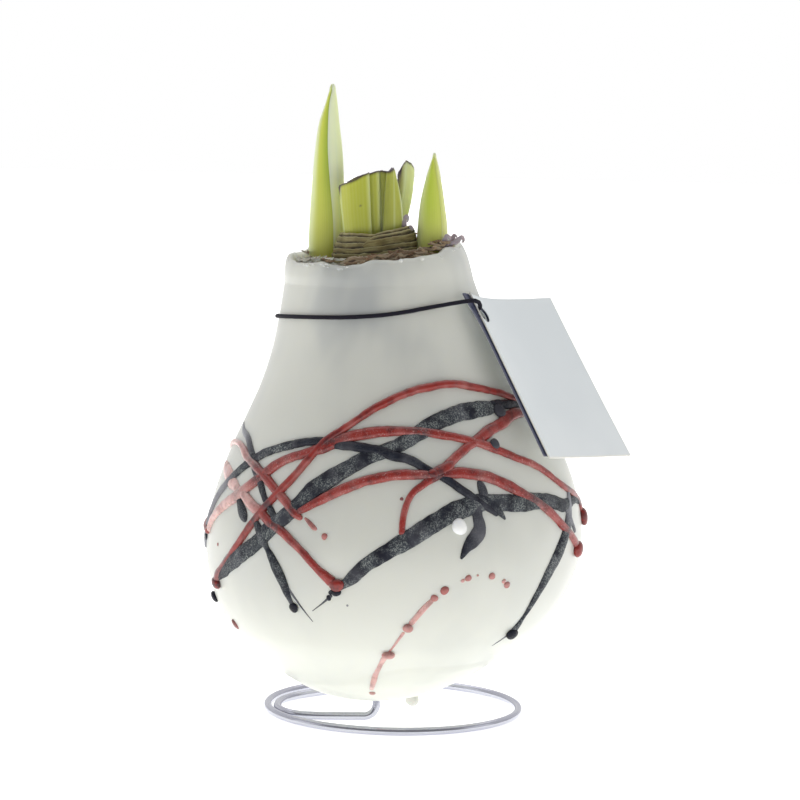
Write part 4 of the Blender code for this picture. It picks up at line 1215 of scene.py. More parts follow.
@dataclass
class CutLeaf:
    """A leaf base that was cut off: a bent sheet with a sloping, darkened cut.

    Attributes:
        foot: its plan where it stands, as x and y from one edge to the other.
        top: its plan at the cut.
        cut: the heights along the cut.
        thick: its thickness.
        late: how late on its way up it bends from one plan to the other.
        early: how soon it reaches the upper plan.
        bruises: where along its width the darkening runs down from the cut, and how strongly.
        streaks_and_highlights: where pale lines and painted highlights run up it, how wide they are and how
            strong.
        specks: sideways places and heights of small dark spots.
        stands: the height of its hidden foot.
        bends: the height from which it bends.
        blunt: the share of its thickness that it keeps at the cut's edge.
    """

    name: str
    foot: tuple
    top: tuple
    cut: tuple
    thick: float
    late: float
    bruises: tuple = ()
    specks: tuple = ()
    streaks_and_highlights: tuple = ()
    early: float = 1.0
    stands: float = 110.6
    bends: float = 122.0
    blunt: float = 0.72
    rows: int = 80
    across: int = 56

    def build(self) -> bpy.types.Object:
        """Loft rounded strips from the foot to the cut.

        At a share s of the way up, the plan is foot + (top - foot) (1 - (1 - s^late)^early).
        Across its thickness the section runs along one face, round the edge and back along
        the other.

        Returns:
            The linked mesh object.
        """
        foot, top = spline(self.foot, self.across), spline(self.top, self.across)
        cut = np.interp(np.linspace(0, 1, self.across), np.linspace(0, 1, len(self.cut)), self.cut)
        cut = cut + 0.10 * ripple(np.linspace(0, 17, self.across), self.thick * 9)
        share = np.concatenate([[-1.0, -0.5], np.linspace(0, 1, self.rows)])[:, None]
        up = np.clip(share, 0, 1)
        plan = foot + (top - foot) * (1 - (1 - up[..., None] ** self.late) ** self.early)
        low = self.stands + (self.bends - self.stands) * np.clip(1 + share, 0, 1)
        height = low + (cut - self.bends) * up
        along = unit(np.gradient(plan, axis=1))
        out = np.stack([along[..., 1], -along[..., 0]], -1)
        run = np.linspace(0, 1, self.across)[None, :, None]
        thin = self.thick / 2 * np.clip(np.minimum(run, 1 - run) * 14, 0.0, 1.0) ** 0.5
        thin = thin * np.where(up[..., None] > 0.985, self.blunt, 1.0)
        thin = thin + 0.04 * ripple(run * 45, self.thick) * up[..., None]
        faces = [np.concatenate([plan + sign * out * thin, height[..., None]], -1) for sign in (1, -1)]
        grid = np.concatenate([faces[0], faces[1][:, ::-1]], 1)
        wide = np.concatenate([run[..., 0], run[:, ::-1, 0]], 1) + 0 * share
        rise = np.clip((grid[..., 2] - 120) / 18, 0, 1)
        margin_and_highlight = 0.4 * np.exp(-(((wide - 1.0) / 0.03) ** 2)) + 0.3 * np.exp(-((wide / 0.03) ** 2))
        # pale streaks up the leaf, some of them painted highlights
        for at, width, strength in self.streaks_and_highlights:
            margin_and_highlight = margin_and_highlight + strength * np.exp(-(((wide - at) / width) ** 2))
        drop = np.concatenate([cut, cut[::-1]])[None] - grid[..., 2]
        burnt = np.exp(-((drop / 0.5) ** 2))
        for at, strength in self.bruises:
            burnt = burnt + np.exp(-(((wide - at) / 0.05) ** 2)) * np.exp(-((drop / 2.2) ** 2)) * strength
        for x, z in self.specks:
            burnt = burnt + np.exp(-((grid[..., 0] - x) ** 2 + (grid[..., 2] - z) ** 2) / 0.05)
        values = {"across": wide, "rise": rise, "margin_and_highlight": np.clip(margin_and_highlight, 0, 1), "cut": np.clip(burnt, 0, 1)}
        top_mid = grid[-1].mean(0)
        crown = grid[-1] * 0.6 + grid[-1][::-1] * 0.4
        grid = np.concatenate([grid, crown[None] + (0, 0, 0.05)], 0)
        values = {key: np.concatenate([v, v[-1:]], 0) for key, v in values.items()}
        obj = MeshMaker(self.name, [Patch(grid, True, grid[0].mean(0), top_mid, values)]).build()
        obj.data.set_sharp_from_angle(angle=math.radians(60))
        return obj


@dataclass
class DryNeck:
    """The bulb's neck: torn brown skin inside the rim, and rings of dry scales round the cut leaves.

    Attributes:
        crown_x: the sideways place of the scales' middle.
        crown_y: how far back the scales' middle is.
        squash: the scales' depth as a share of their width.
        tucked: how far each scale reaches down behind the next one out.
        mound: how high the floor rises under the scales.
        skirt_reach: the radius of the floor's hidden wall.
        skirt_heights: the heights of the hidden wall's rows.
    """

    form: BulbForm
    crown_x: float = -11.6
    crown_y: float = -1.5
    squash: float = 0.84
    tucked: float = 1.3
    thick: float = 0.36
    rows_each_degree: float = 0.52
    floor_reach: float = 19.75
    floor_height: float = 116.6
    mound: float = 7.2
    skirt_reach: float = 19.4
    skirt_heights: tuple[float, float] = (113.0, 108.0)
    curl_rows: int = 60
    seed: int = 5

    def floor(self) -> Patch:
        """The neck's own top: a crumpled disc that rises to a mound under the scales.

        Height is the rim's own slope, plus the mound, which falls off from the crown's middle,
        plus folds that run outwards.

        Returns:
            The floor's patch, closed by a hidden wall.
        """
        turn = np.linspace(-math.pi, math.pi, 240, endpoint=False)[None]
        share = np.linspace(0, 1, 70)[:, None]
        reach = self.floor_reach * share
        x, y = reach * np.sin(turn), -reach * np.cos(turn)
        lift = self.form.rim_lift(turn, 117.4) * ease(share * 1.4)
        from_crown = np.hypot(x, (y - self.crown_y) / self.squash)
        mound = self.mound * ease((10.4 - from_crown) / 2.4)
        tilt = 0.115 * x * ease((13 - from_crown) / 3)
        folds = 0.45 * ripple(7 * turn + reach / 2, 1.0) + 0.3 * ripple(reach * 1.7 + 3 * turn, 2.2)
        z = self.floor_height + lift * (1 - ease((12 - from_crown) / 3)) + mound + tilt
        z = z + folds * ease((share - 0.2) * 4) - 1.4 * ease((share - 0.94) / 0.06)
        top = np.stack([x + self.form.middle(116.2), y, z], -1)
        skirt_z = np.array(self.skirt_heights)[:, None] + 0 * turn
        skirt_x = self.skirt_reach * np.sin(turn) + self.form.middle(skirt_z)
        skirt = np.stack([skirt_x, -self.skirt_reach * np.cos(turn) + 0 * skirt_z, skirt_z], -1)
        grid = np.vstack([top[1:], skirt])
        return Patch(grid, True, top[0].mean(0), skirt[-1].mean(0), {"tint": 0.0, "shade": 0.25})

    def scale(self, wide: float, high: float, shown: float, begin: float, end: float, seed: float,
              tint: float, tilt: float, ragged: float = 1.0, squash: float = 0.84) -> Patch:
        """One dry scale: a thin band wrapped part of the way round the crown.

        Its middle line lies on an ellipse of half widths wide and squash times wide, tilted to
        the right. The band leans in towards its torn top edge and its hidden foot. It has painted
        shade where the band outside it ends and a painted highlight along its top lip.

        Args:
            wide: the ellipse's half width.
            high: the height of the top edge.
            shown: how much of the band shows above the next one out.
            begin: the angle where it starts.
            end: the angle where it ends.
            seed: a number that makes its wander its own.
            tint: how much paler it is than the rest, from 0 to 1.
            tilt: how much it rises for each millimetre to the right.
            ragged: a factor on how torn its top edge is.
            squash: the ellipse's depth as a share of its width.

        Returns:
            The band's patch, with its own tint, its painted highlight and its painted shade.
        """
        count = max(60, round((end - begin) * self.rows_each_degree))
        turn = np.linspace(math.radians(begin), math.radians(end), count)[:, None]
        ends = np.clip(np.minimum(turn - turn[0], turn[-1] - turn) / 0.3, 0, 1)
        each_face = 16
        up = np.concatenate([np.linspace(0, 1, each_face), np.linspace(1, 0, each_face)])[None]
        face = np.repeat([0.5, -0.5], each_face)[None]
        torn = ragged * (0.09 * ripple(turn * 7, seed) + 0.05 * ripple(turn * 31, seed + 1))
        tall = shown + self.tucked
        rise = (tall + torn) * up - tall * 0.6 * (1 - ease(ends)) * up
        reach = wide + 0.14 * ripple(turn * 4, seed + 3) - 0.35 * up + face * self.thick * (1 - 0.5 * up)
        reach = reach + 0.08 * np.sin(up * 9 + seed + 2 * turn) - 0.4 * (1 - ease(ends * 2))
        reach = reach - 0.5 * (1 - ease(up * tall / self.tucked))
        x = reach * np.sin(turn)
        y = -squash * reach * np.cos(turn)
        z = high - tall + rise + tilt * x + ragged * 0.1 * ripple(turn * 3, seed + 4)
        grid = np.stack([x + self.crown_x, y + self.crown_y, z], -1)
        above = (up - self.tucked / tall) * tall
        # painted shade: dark in the crease just above where the band outside covers this one
        crease_shade = ease(ends * 1.5) * (0.75 + 0.25 * ripple(turn * 6, seed + 6))
        crease_shade = crease_shade * np.exp(-((np.maximum(above, 0) / 0.26) ** 2))
        # painted highlight: a paler lip along the band's top edge
        lip = ease((above - shown + 0.35) / 0.3)
        values = {"tint": np.clip(tint + 0.6 * lip + 0.15 * ripple(turn * 5, seed), 0, 1),
                  "shade": np.clip(crease_shade + 0.15 * ripple(turn * 9, seed) + 0.1, 0, 0.9)}
        return Patch(grid, True, grid[0].mean(0), grid[-1].mean(0), values)

    def scales(self) -> list[Patch]:
        """The rings of scales: the left ones lie level and the right ones rise to the right."""
        rows = ((11.9, 118.4, 1.2, -200, 170, 0.3, 0.0, 0.08), (11.6, 119.2, 1.1, -150, 236, 1.1, 0.05, 0.10),
                (11.2, 119.8, 1.1, -190, 34, 1.9, 0.0, 0.04), (11.3, 120.2, 1.0, -34, 205, 2.4, 0.1, 0.13),
                (10.8, 121.1, 1.3, -188, 30, 3.1, 0.0, 0.03), (10.9, 121.5, 1.2, -30, 205, 3.7, 0.15, 0.15),
                (10.3, 122.3, 1.1, -190, 26, 4.2, 0.1, 0.01), (10.4, 123.3, 1.9, -26, 210, 4.6, 0.0, 0.18),
                (9.8, 123.8, 1.4, -185, 20, 5.2, 0.15, 0.0), (9.9, 124.2, 0.7, -18, 200, 5.8, 0.25, 0.21),
                (9.3, 124.7, 0.7, -186, 14, 6.4, 0.2, 0.0), (9.4, 124.9, 0.6, -12, 196, 7.1, 0.2, 0.22))
        return [self.scale(*row) for row in rows]

    def skins(self) -> list[Patch]:
        """Torn sheets of the brown outer skin that stand between the rim and the scales."""
        rows = ((17.9, 118.3, 1.0, -36, 4, 1.3, 0.3, 0.10), (17.3, 118.7, 1.1, -26, 48, 2.9, 0.0, 0.12),
                (16.4, 119.2, 1.1, -34, 20, 4.1, 0.15, 0.07), (15.6, 119.3, 1.1, -4, 72, 5.6, 0.1, 0.12),
                (14.6, 119.5, 1.1, -40, 26, 6.7, 0.0, 0.10), (13.8, 119.8, 1.0, 0, 84, 7.7, 0.25, 0.11),
                (13.0, 119.5, 1.0, -44, 30, 8.3, 0.1, 0.08), (16.6, 120.6, 1.4, 96, 170, 9.4, 0.1, 0.05),
                (14.6, 121.0, 1.3, 120, 230, 10.2, 0.2, 0.05), (16.9, 120.2, 1.2, 180, 236, 11.9, 0.1, 0.05))
        return [self.scale(*row, ragged=4.0, squash=0.98) for row in rows]

    def shreds(self, count: int, near: float, spread: float, small: float, high: float = 1.0,
               flat: float = 0.2) -> list[Patch]:
        """Curled scraps of torn skin that lie along the rim, placed by a seeded draw.

        Each is a flattened tube along a short arc that curls up at its ends.

        Args:
            count: how many scraps.
            near: the angle that they gather round.
            spread: how far they scatter from it, in degrees.
            small: a factor on their size.
            high: how high they pile above the rim.
            flat: their thickness as a share of their width.

        Returns:
            A patch for each scrap.
        """
        draw = np.random.default_rng(self.seed + count)
        made = []
        for _ in range(count):
            angle = near + draw.normal(0, spread)
            reach = draw.uniform(15.8, 19.9)
            size = draw.uniform(1.4, 4.2) * small
            turn = math.radians(angle)
            lift = float(self.form.rim_lift(np.array(turn), np.array(118.2)))
            middle = np.array([reach * math.sin(turn) + self.form.middle(117.0), -reach * math.cos(turn),
                               117.5 + lift + high * draw.uniform(0.0, 1.3)])
            heading = turn + math.pi / 2 + draw.normal(0, 0.3)
            ahead = unit(np.array([math.sin(heading), -math.cos(heading), draw.normal(0.06, 0.13)]))
            t = np.linspace(-1, 1, 24)[:, None]
            curl = draw.uniform(-0.05, 0.3)
            path = middle + ahead * t * size + np.array([0, 0, 1.0]) * (t**2 * size * curl)
            path = path + np.cross(ahead, [0, 0, 1.0]) * (0.22 * size * np.sin(t * 2.2 + draw.uniform(0, 6)))
            path = path + 0.12 * small * np.stack([ripple(t[:, 0] * 7, k + angle) for k in range(3)], 1)
            half = draw.uniform(0.3, 0.8) * small * (1 - 0.8 * t[:, 0] ** 2) + 0.08
            facing = unit(np.array([math.sin(turn), -math.cos(turn), 0.9]) + draw.normal(0, 0.45, 3))
            twist = unit(facing + 0.8 * t * draw.normal(0, 1, 3))
            grid = tube(path, half, 12, twist, flat)
            tone = {"tint": draw.uniform(0, 0.6) ** 2, "shade": draw.uniform(0.0, 0.5)}
            made.append(Patch(grid, True, path[0], path[-1], tone))
        return made

    def curls(self) -> list[Patch]:
        """The small purplish curl beside the cut leaves, and the longer ones at the rim's right."""
        rows = (((-4.9, -4.0, 124.6), (-4.4, -4.2, 126.6), (-4.3, -4.1, 128.4), (-3.9, -4.3, 129.2),
                 (-3.5, -4.4, 128.6), (-3.6, -4.4, 127.7)),
                ((-3.9, -3.9, 124.9), (-3.3, -4.4, 126.0), (-2.6, -4.6, 126.3), (-2.3, -4.6, 125.6)),
                ((5.6, -7.6, 121.6), (6.8, -7.2, 122.6), (8.6, -6.6, 123.0), (10.0, -6.2, 124.2),
                 (10.6, -6.0, 123.6), (10.4, -6.2, 122.8)),
                ((4.6, -8.6, 120.8), (5.8, -8.4, 123.2), (6.4, -8.2, 124.4), (7.2, -8.0, 123.9),
                 (6.9, -8.0, 123.2)),
                ((7.2, -5.6, 121.0), (7.9, -5.2, 123.8), (8.3, -5.2, 124.8), (9.0, -5.4, 124.2)))
        count = self.curl_rows
        taper = np.sin(np.linspace(0.35, math.pi - 0.2, count))
        facing = np.tile([0.3, 0.9, 0.1], (count, 1))
        made = []
        for k, row in enumerate(rows):
            path = spline(row, count)
            half = (0.55 + 0.25 * ripple(np.linspace(0, 8, count), k)) * taper
            grid = tube(path, half + 0.08, 12, facing, 0.2)
            tone = {"tint": np.linspace(0.1, 0.7, count)[:, None], "shade": 0.2}
            made.append(Patch(grid, True, path[0], path[-1], tone))
        return made


@dataclass
class CardTag:
    """The folded card, its curl, and the elastic that holds it.

    Attributes:
        corner: its top left corner.
        across: the direction of its top edge.
        down: the direction of its left edge.
        spring: how far the back leaf stands off at its free edge.
        lip: how far the back leaf shows at the left.
        short: how much shorter the back leaf is.
        flare: how far the back leaf's top left corner is drawn out.
        pinch: how far each face is pressed in at the card's edges and the hole's.
        hole: the hole's place across and down, and its radius.
        elastic: the elastic's half thickness.
        bite: how far the elastic presses into the wax.
        round_neck: angle and height of the elastic round the neck.
        at_card: the elastic's place across, down and out of the card's face.
    """

    form: BulbForm
    corner: tuple = (12.4, -15.5, 111.0)
    across: tuple = (0.612, 0.788, -0.065)
    down: tuple = (0.416, -0.391, -0.821)
    width: float = 35.0
    height: float = 47.5
    thick: float = 0.45
    spring: float = 0.15
    lip: float = 0.7
    short: float = 0.9
    flare: float = 1.5
    pinch: float = 0.09
    hole: tuple[float, float, float] = (3.0, 5.6, 2.4)
    elastic: float = 0.52
    bite: float = 0.04
    round_neck: tuple = ((84, 104.6), (105, 104.0), (135, 103.4), (165, 103.0), (195, 102.8), (225, 102.7),
                         (250, 102.8), (270, 103.0), (288, 103.4), (306, 103.8), (324, 104.1), (341, 104.5),
                         (358, 105.1), (372, 106.0), (385, 107.0))
    at_card: tuple = ((-3.2, 3.0, 0.3), (-0.4, 3.45, 0.85), (0.9, 3.65, 0.85), (1.8, 3.85, 0.55),
                      (2.3, 4.0, -0.1), (2.6, 4.05, -1.0), (3.2, 4.1, -1.9), (4.9, 4.2, -2.7),
                      (7.0, 4.4, -2.9), (10.0, 4.7, -3.6))

    def __post_init__(self) -> None:
        """Square the card's axes to each other."""
        self.u = unit(np.array(self.across))
        down = np.array(self.down)
        self.v = unit(down - self.u * (down @ self.u))
        self.n = np.cross(self.v, self.u)

    def curl(self, a: Array, b: Array) -> Array:
        """How far the card's face bows: inwards near the top, and outwards at its lower right corner."""
        share = np.clip(a / self.width, 0.0, 1.0)
        low = np.clip(b / self.height, 0.0, 1.0)
        return 0.8 * (share * low) ** 2 - 2.2 * np.sin(math.pi * share**0.68) * (1 - low) ** 1.1

    def on_card(self, a: Array, b: Array, out: Array) -> Array:
        """A point by its distance across, down and out of the card's face, with the curl."""
        out = out + self.curl(a, b)
        return np.array(self.corner) + a[..., None] * self.u + b[..., None] * self.v + out[..., None] * self.n

    def leaf(self, front: bool) -> Patch:
        """One leaf of the card with its punched hole.

        Rays run from the hole's edge out to the card's edge: at share s a point is
        hole + (edge - hole) s, so that the hole is a true circle. The sheet goes out over the
        face, round the outer edge, back over the other face and through the hole.

        Args:
            front: whether it is the front leaf.

        Returns:
            The leaf's patch, with its worn edges and its inner face.
        """
        ha, hb, radius = self.hole
        left = 0.0 if front else -self.lip
        foot = self.height if front else self.height - self.short
        corners = np.array([(left, 0), (self.width, 0), (self.width, foot), (left, foot), (left, 0)])
        run = np.concatenate([np.linspace(corners[k], corners[k + 1], n, endpoint=False)
                              for k, n in enumerate((90, 110, 90, 110))])
        if not front:
            run[:, 0] -= self.flare * np.exp(-((run[:, 1] / 7) ** 2)) * (run[:, 0] < 0)
        ahead = unit(run - (ha, hb))
        hole_edge = np.array([ha, hb]) + ahead * radius
        near_hole, near_edge = 0.012, 0.995
        share = np.concatenate([[0.0, near_hole], np.linspace(0.03, 0.985, 34), [near_edge, 1.0]])
        spread = hole_edge[None] + (run - hole_edge)[None] * share[:, None, None]
        a, b = spread[..., 0], spread[..., 1]
        base = 0.0 if front else -self.thick - self.spring * (1 - a / self.width) - 0.06
        at_rims = np.clip(1 - share / near_hole, 0, 1)
        at_rims = at_rims + np.clip((share - near_edge) / (1 - near_edge), 0, 1)
        round_off = self.pinch * at_rims[:, None]
        top = self.on_card(a, b, base - round_off)
        low = self.on_card(a, b, base - self.thick + round_off)
        worn = np.exp(-(((1 - share) / 0.006) ** 2)) * (0.8 if front else 0.1)
        inner = np.repeat([0.0, 1.0] if front else [1.0, 0.0], len(share))
        inner[len(share)] = inner[0]
        values = {"edge": np.concatenate([worn, worn[::-1]])[:, None], "inner": inner[:, None]}
        return Patch(np.concatenate([top, low[::-1]]), True, values=values, looped=True)

    def fold(self) -> Patch:
        """The rounded fold that joins the two leaves along the right edge."""
        b = np.linspace(0, self.height, 60)
        path = self.on_card(0 * b + self.width - 0.1, b, 0 * b - self.thick - 0.02)
        grid = tube(path, self.thick * 1.02, 16, np.tile(self.n, (len(b), 1)))
        return Patch(grid, True, path[0], path[-1], {"edge": 0.35})

    def build_card(self, front: bool) -> bpy.types.Object:
        """Make the front leaf with the fold, or the back leaf."""
        patches = [self.leaf(front)] + ([self.fold()] if front else [])
        obj = MeshMaker("card_front" if front else "card_back", patches).build()
        obj.data.set_sharp_from_angle(angle=math.radians(45))
        return obj

    def build_elastic(self) -> bpy.types.Object:
        """Make the elastic: one closed loop round the neck, over the card's edge and through its hole.

        A round section is carried along the smooth closed curve through the places that it passes.

        Returns:
            The linked mesh object.
        """
        angle, height = np.array(self.round_neck, float).T
        neck = self.form.place(angle, height, self.elastic - self.bite)
        a, b, out = np.array(self.at_card, float).T
        loop = np.vstack([neck, self.on_card(a, b, out)])
        path = spline(loop, 420, closed=True)
        ends = np.vstack([path[-2:], path, path[:2]])
        up = np.tile([0.0, 0.0, 1.0], (len(ends), 1))
        grid = tube(ends, self.elastic, 18, up)[2:-2]
        return MeshMaker("elastic_loop", [Patch(grid, True, looped=True)]).build()


@dataclass
class RootNub:
    """A stub of root under the bulb that the wax closed over."""

    middle: tuple[float, float, float] = (0.3, -0.5, 5.2)
    size: tuple[float, float, float] = (1.7, 1.5, 1.7)

    def build(self) -> bpy.types.Object:
        """A lumpy ball: the sphere's point times the size, times 1 plus a small ripple."""
        b, a = ball_angles(20, 32)
        lump = 1 + 0.1 * ripple(3 * a + 2 * b, 1.0) * np.sin(b)
        ball = np.stack([np.sin(b) * np.cos(a), np.sin(b) * np.sin(a), np.cos(b) + 0 * a], -1)
        centre, size = np.array(self.middle), np.array(self.size)
        tips = [centre + size * (0, 0, sign) for sign in (1, -1)]
        patch = Patch(centre + ball * lump[..., None] * size, True, *tips, {"tint": 0.85})
        return MeshMaker("root_nub", [patch]).build()


@dataclass
class Studio:
    """A white sweep, soft light from above, behind and both sides, and the camera.

    Attributes:
        eye: where the camera stands, in millimetres.
        down: how far it looks below level, in degrees.
        roll: how far its picture is turned, in degrees.
        lens: focal length on a 36 mm sensor.
        reach: half the floor's width, in millimetres.
        lamp: the right lamp's place, in metres. The left one is its mirror image.
        aim: the point that both lamps face, in metres.
        lamp_size: how wide each lamp is, in metres.
        lamp_power: how strong each lamp is, in watts.
    """

    eye: tuple[float, float, float] = (-4.5, -688.0, 141.0)
    down: float = 4.87
    roll: float = 1.2
    lens: float = 122.0
    reach: float = 45000.0
    lamp: tuple[float, float, float] = (0.75, -0.1, 0.25)
    aim: tuple[float, float, float] = (0.0, 0.0, 0.07)
    lamp_size: float = 0.4
    lamp_power: float = 0.25

    @staticmethod
    def _stand(name: str, data: bpy.types.ID, axes: Sequence[Array], at: Array) -> bpy.types.Object:
        """Link a new object for a lamp or a camera.

        Args:
            name: what it is called.
            data: the lamp or camera.
            axes: the directions of its own X, Y and Z. It looks against its Z.
            at: its place, in metres.

        Returns:
            The linked object.
        """
        obj = bpy.data.objects.new(name, data)
        bpy.context.scene.collection.objects.link(obj)
        matrix = np.eye(4)
        matrix[:3, :3] = np.stack(axes, 1)
        matrix[:3, 3] = at
        obj.matrix_world = Matrix(matrix)
        return obj

    def floor(self) -> bpy.types.Object:
        """A wide flat floor just under the ring."""
        x, y = np.meshgrid([-self.reach, self.reach], [-self.reach, self.reach])
        grid = np.stack([x, y, 0 * x], -1)
        obj = MeshMaker("studio_floor", [Patch(grid, False)]).build()
        obj.data.materials.append(PaleFloor().material())
        return obj

    def camera(self) -> None:
        """Place the camera and make it the scene's own."""
        data = bpy.data.cameras.new("portrait camera")
        data.sensor_width = 36.0
        data.lens = self.lens
        data.clip_start = 0.01
        data.clip_end = 200.0
        down, roll = math.radians(self.down), math.radians(self.roll)
        ahead = np.array([0.0, math.cos(down), -math.sin(down)])
        up = np.array([0.0, math.sin(down), math.cos(down)])
        right = np.array([1.0, 0.0, 0.0])
        side = right * math.cos(roll) + up * math.sin(roll)
        top = up * math.cos(roll) - right * math.sin(roll)
        place = np.array(self.eye) * MM
        bpy.context.scene.camera = self._stand("portrait camera", data, (side, top, -ahead), place)

    def side_lamp(self, name: str, mirror: float) -> None:
        """One soft square lamp that faces the bulb, at the right with mirror 1 or the left with -1."""
        data = bpy.data.lights.new(name, "AREA")
        data.size = self.lamp_size
        data.energy = self.lamp_power
        at = np.array(self.lamp) * (mirror, 1.0, 1.0)
        back = unit(at - np.array(self.aim))
        side = unit(np.cross(np.array([0.0, 0.0, 1.0]), back))
        self._stand(name, data, (side, np.cross(back, side), back), at)

    def light(self) -> None:
        """A white room that is dimmer in front, a high soft sun, and a lamp at each side."""
        scene = bpy.context.scene
        scene.view_settings.view_transform = "Standard"
        world = bpy.data.worlds.new("white room")
        scene.world = world
        world.use_nodes = True
        tree = world.node_tree
        back = tree.nodes["Background"]
        place = tree.nodes.new("ShaderNodeTexCoord")
        split = tree.nodes.new("ShaderNodeSeparateXYZ")
        tree.links.new(place.outputs["Generated"], split.inputs[0])
        span = tree.nodes.new("ShaderNodeMapRange")
        span.interpolation_type = "SMOOTHSTEP"
        for key, number in (("From Min", -0.9), ("From Max", 0.9), ("To Min", 0.26), ("To Max", 0.8)):
            span.inputs[key].default_value = number
        tree.links.new(split.outputs["Y"], span.inputs["Value"])
        seen = tree.nodes.new("ShaderNodeLightPath")
        most = tree.nodes.new("ShaderNodeMath")
        most.operation = "MAXIMUM"
        tree.links.new(span.outputs["Result"], most.inputs[0])
        tree.links.new(seen.outputs["Is Camera Ray"], most.inputs[1])
        tree.links.new(most.outputs[0], back.inputs["Strength"])
        back.inputs["Color"].default_value = (1.0, 1.0, 1.0, 1.0)
        sun = bpy.data.lights.new("high soft light", "SUN")
        sun.energy = 0.7
        sun.angle = math.radians(70)
        obj = bpy.data.objects.new("high soft light", sun)
        scene.collection.objects.link(obj)
        obj.rotation_euler = (math.radians(-20), 0.0, 0.0)
        self.side_lamp("left lamp", -1.0)
        self.side_lamp("right lamp", 1.0)


TALL = Sprout("tall_sprout", (
    (108.5, -27.2, -19.6, 2.8, -22.6), (114, -28.0, -19.4, 3.0, -22.5), (121, -28.6, -19.3, 3.1, -22.3),
    (128, -28.5, -19.5, 3.1, -22.5), (136, -28.1, -19.8, 3.0, -23.3), (145, -27.5, -20.4, 2.6, -24.1),
    (152, -26.6, -21.3, 2.1, -24.2), (157, -25.1, -21.9, 1.5, -24.0), (160.5, -24.1, -22.4, 0.9, -23.4)),
    (-23.2, 162.2), 4.5, 1.0)
SHORT = Sprout("short_sprout", (
    (109, -1.8, 5.0, 3.0, 3.4), (115, -1.6, 5.6, 3.3, 4.0), (120, -1.2, 6.5, 3.5, 5.0),
    (126, -1.0, 6.6, 3.4, 5.1), (132, -0.5, 5.8, 3.0, 4.6), (137, 0.4, 5.0, 2.4, 3.9),
    (141.5, 1.6, 4.1, 1.5, 3.1), (144, 2.4, 3.4, 0.8, 2.8)), (2.9, 145.3), -2.3, 0.25)

CUT_LEAVES: tuple[tuple[CutLeaf, str], ...] = (
    (CutLeaf("cut_base_front", ((-12.0, 2.4), (-16.2, 1.9), (-18.4, -1.0), (-16.4, -4.3), (-12.0, -5.5)),
             ((-14.0, 2.0), (-18.6, 1.6), (-20.6, -1.2), (-18.2, -4.6), (-13.4, -6.0)),
             (139.4, 137.3, 136.4, 137.8, 140.0), 1.2, 0.7, ((0.5, 1.3),), ((-15.4, 131.6),),
             ((0.53, 0.025, 0.6),)), "cut_leaf_front"),
    (CutLeaf("cut_base_second", ((-11.0, 1.0), (-15.0, 0.6), (-16.8, -1.2), (-14.6, -3.4), (-10.1, -4.2)),
             ((-11.5, 0.9), (-16.4, 0.5), (-18.6, -1.3), (-15.9, -3.8), (-10.9, -4.7)),
             (139.2, 137.8, 137.6, 139.4, 140.4), 1.1, 1.0), "cut_leaf_second"),
    (CutLeaf("cut_base_inner", ((-13.6, -1.9), (-11.8, -2.6), (-10.2, -3.2), (-8.8, -3.3), (-7.4, -2.7)),
             ((-13.6, -2.0), (-11.8, -2.9), (-10.4, -3.6), (-9.5, -3.6), (-8.9, -3.0)),
             # the inner cut leaf's streak at 0.62 is a painted highlight
             (139.4, 140.0, 140.4, 140.5, 140.3), 1.0, 1.0, streaks_and_highlights=((0.62, 0.03, 0.3),)), "cut_leaf_inner"),
    (CutLeaf("cut_base_right", ((-9.8, -4.5), (-7.4, -4.7), (-5.4, -3.6), (-4.9, -1.5), (-5.6, -0.2)),
             ((-9.1, -4.9), (-8.3, -4.8), (-7.7, -3.6), (-7.7, -2.0), (-8.2, -0.6)),
             (140.2, 140.7, 141.3, 140.6, 139.8), 1.0, 2.4,
             # the right cut leaf's streak at 0.66 is a painted highlight
             streaks_and_highlights=((0.66, 0.06, 0.7), (0.34, 0.03, 0.25))), "cut_leaf_right"),
    (CutLeaf("cut_base_back", ((-9.2, 2.3), (-8.3, 2.4), (-7.4, 2.2), (-6.6, 1.8), (-6.0, 1.2)),
             ((-6.1, 3.4), (-5.5, 2.3), (-4.5, 1.8), (-3.1, 2.2), (-2.2, 3.3)),
             (139.7, 140.9, 143.3, 142.4, 141.0), 0.9, 1.0,
             ((0.05, 2.6), (0.18, 2.2), (0.3, 1.4), (1.0, 2.0)),
             streaks_and_highlights=((0.5, 0.05, 0.5), (0.9, 0.06, 0.3)), early=2.2), "cut_leaf_back"),
)

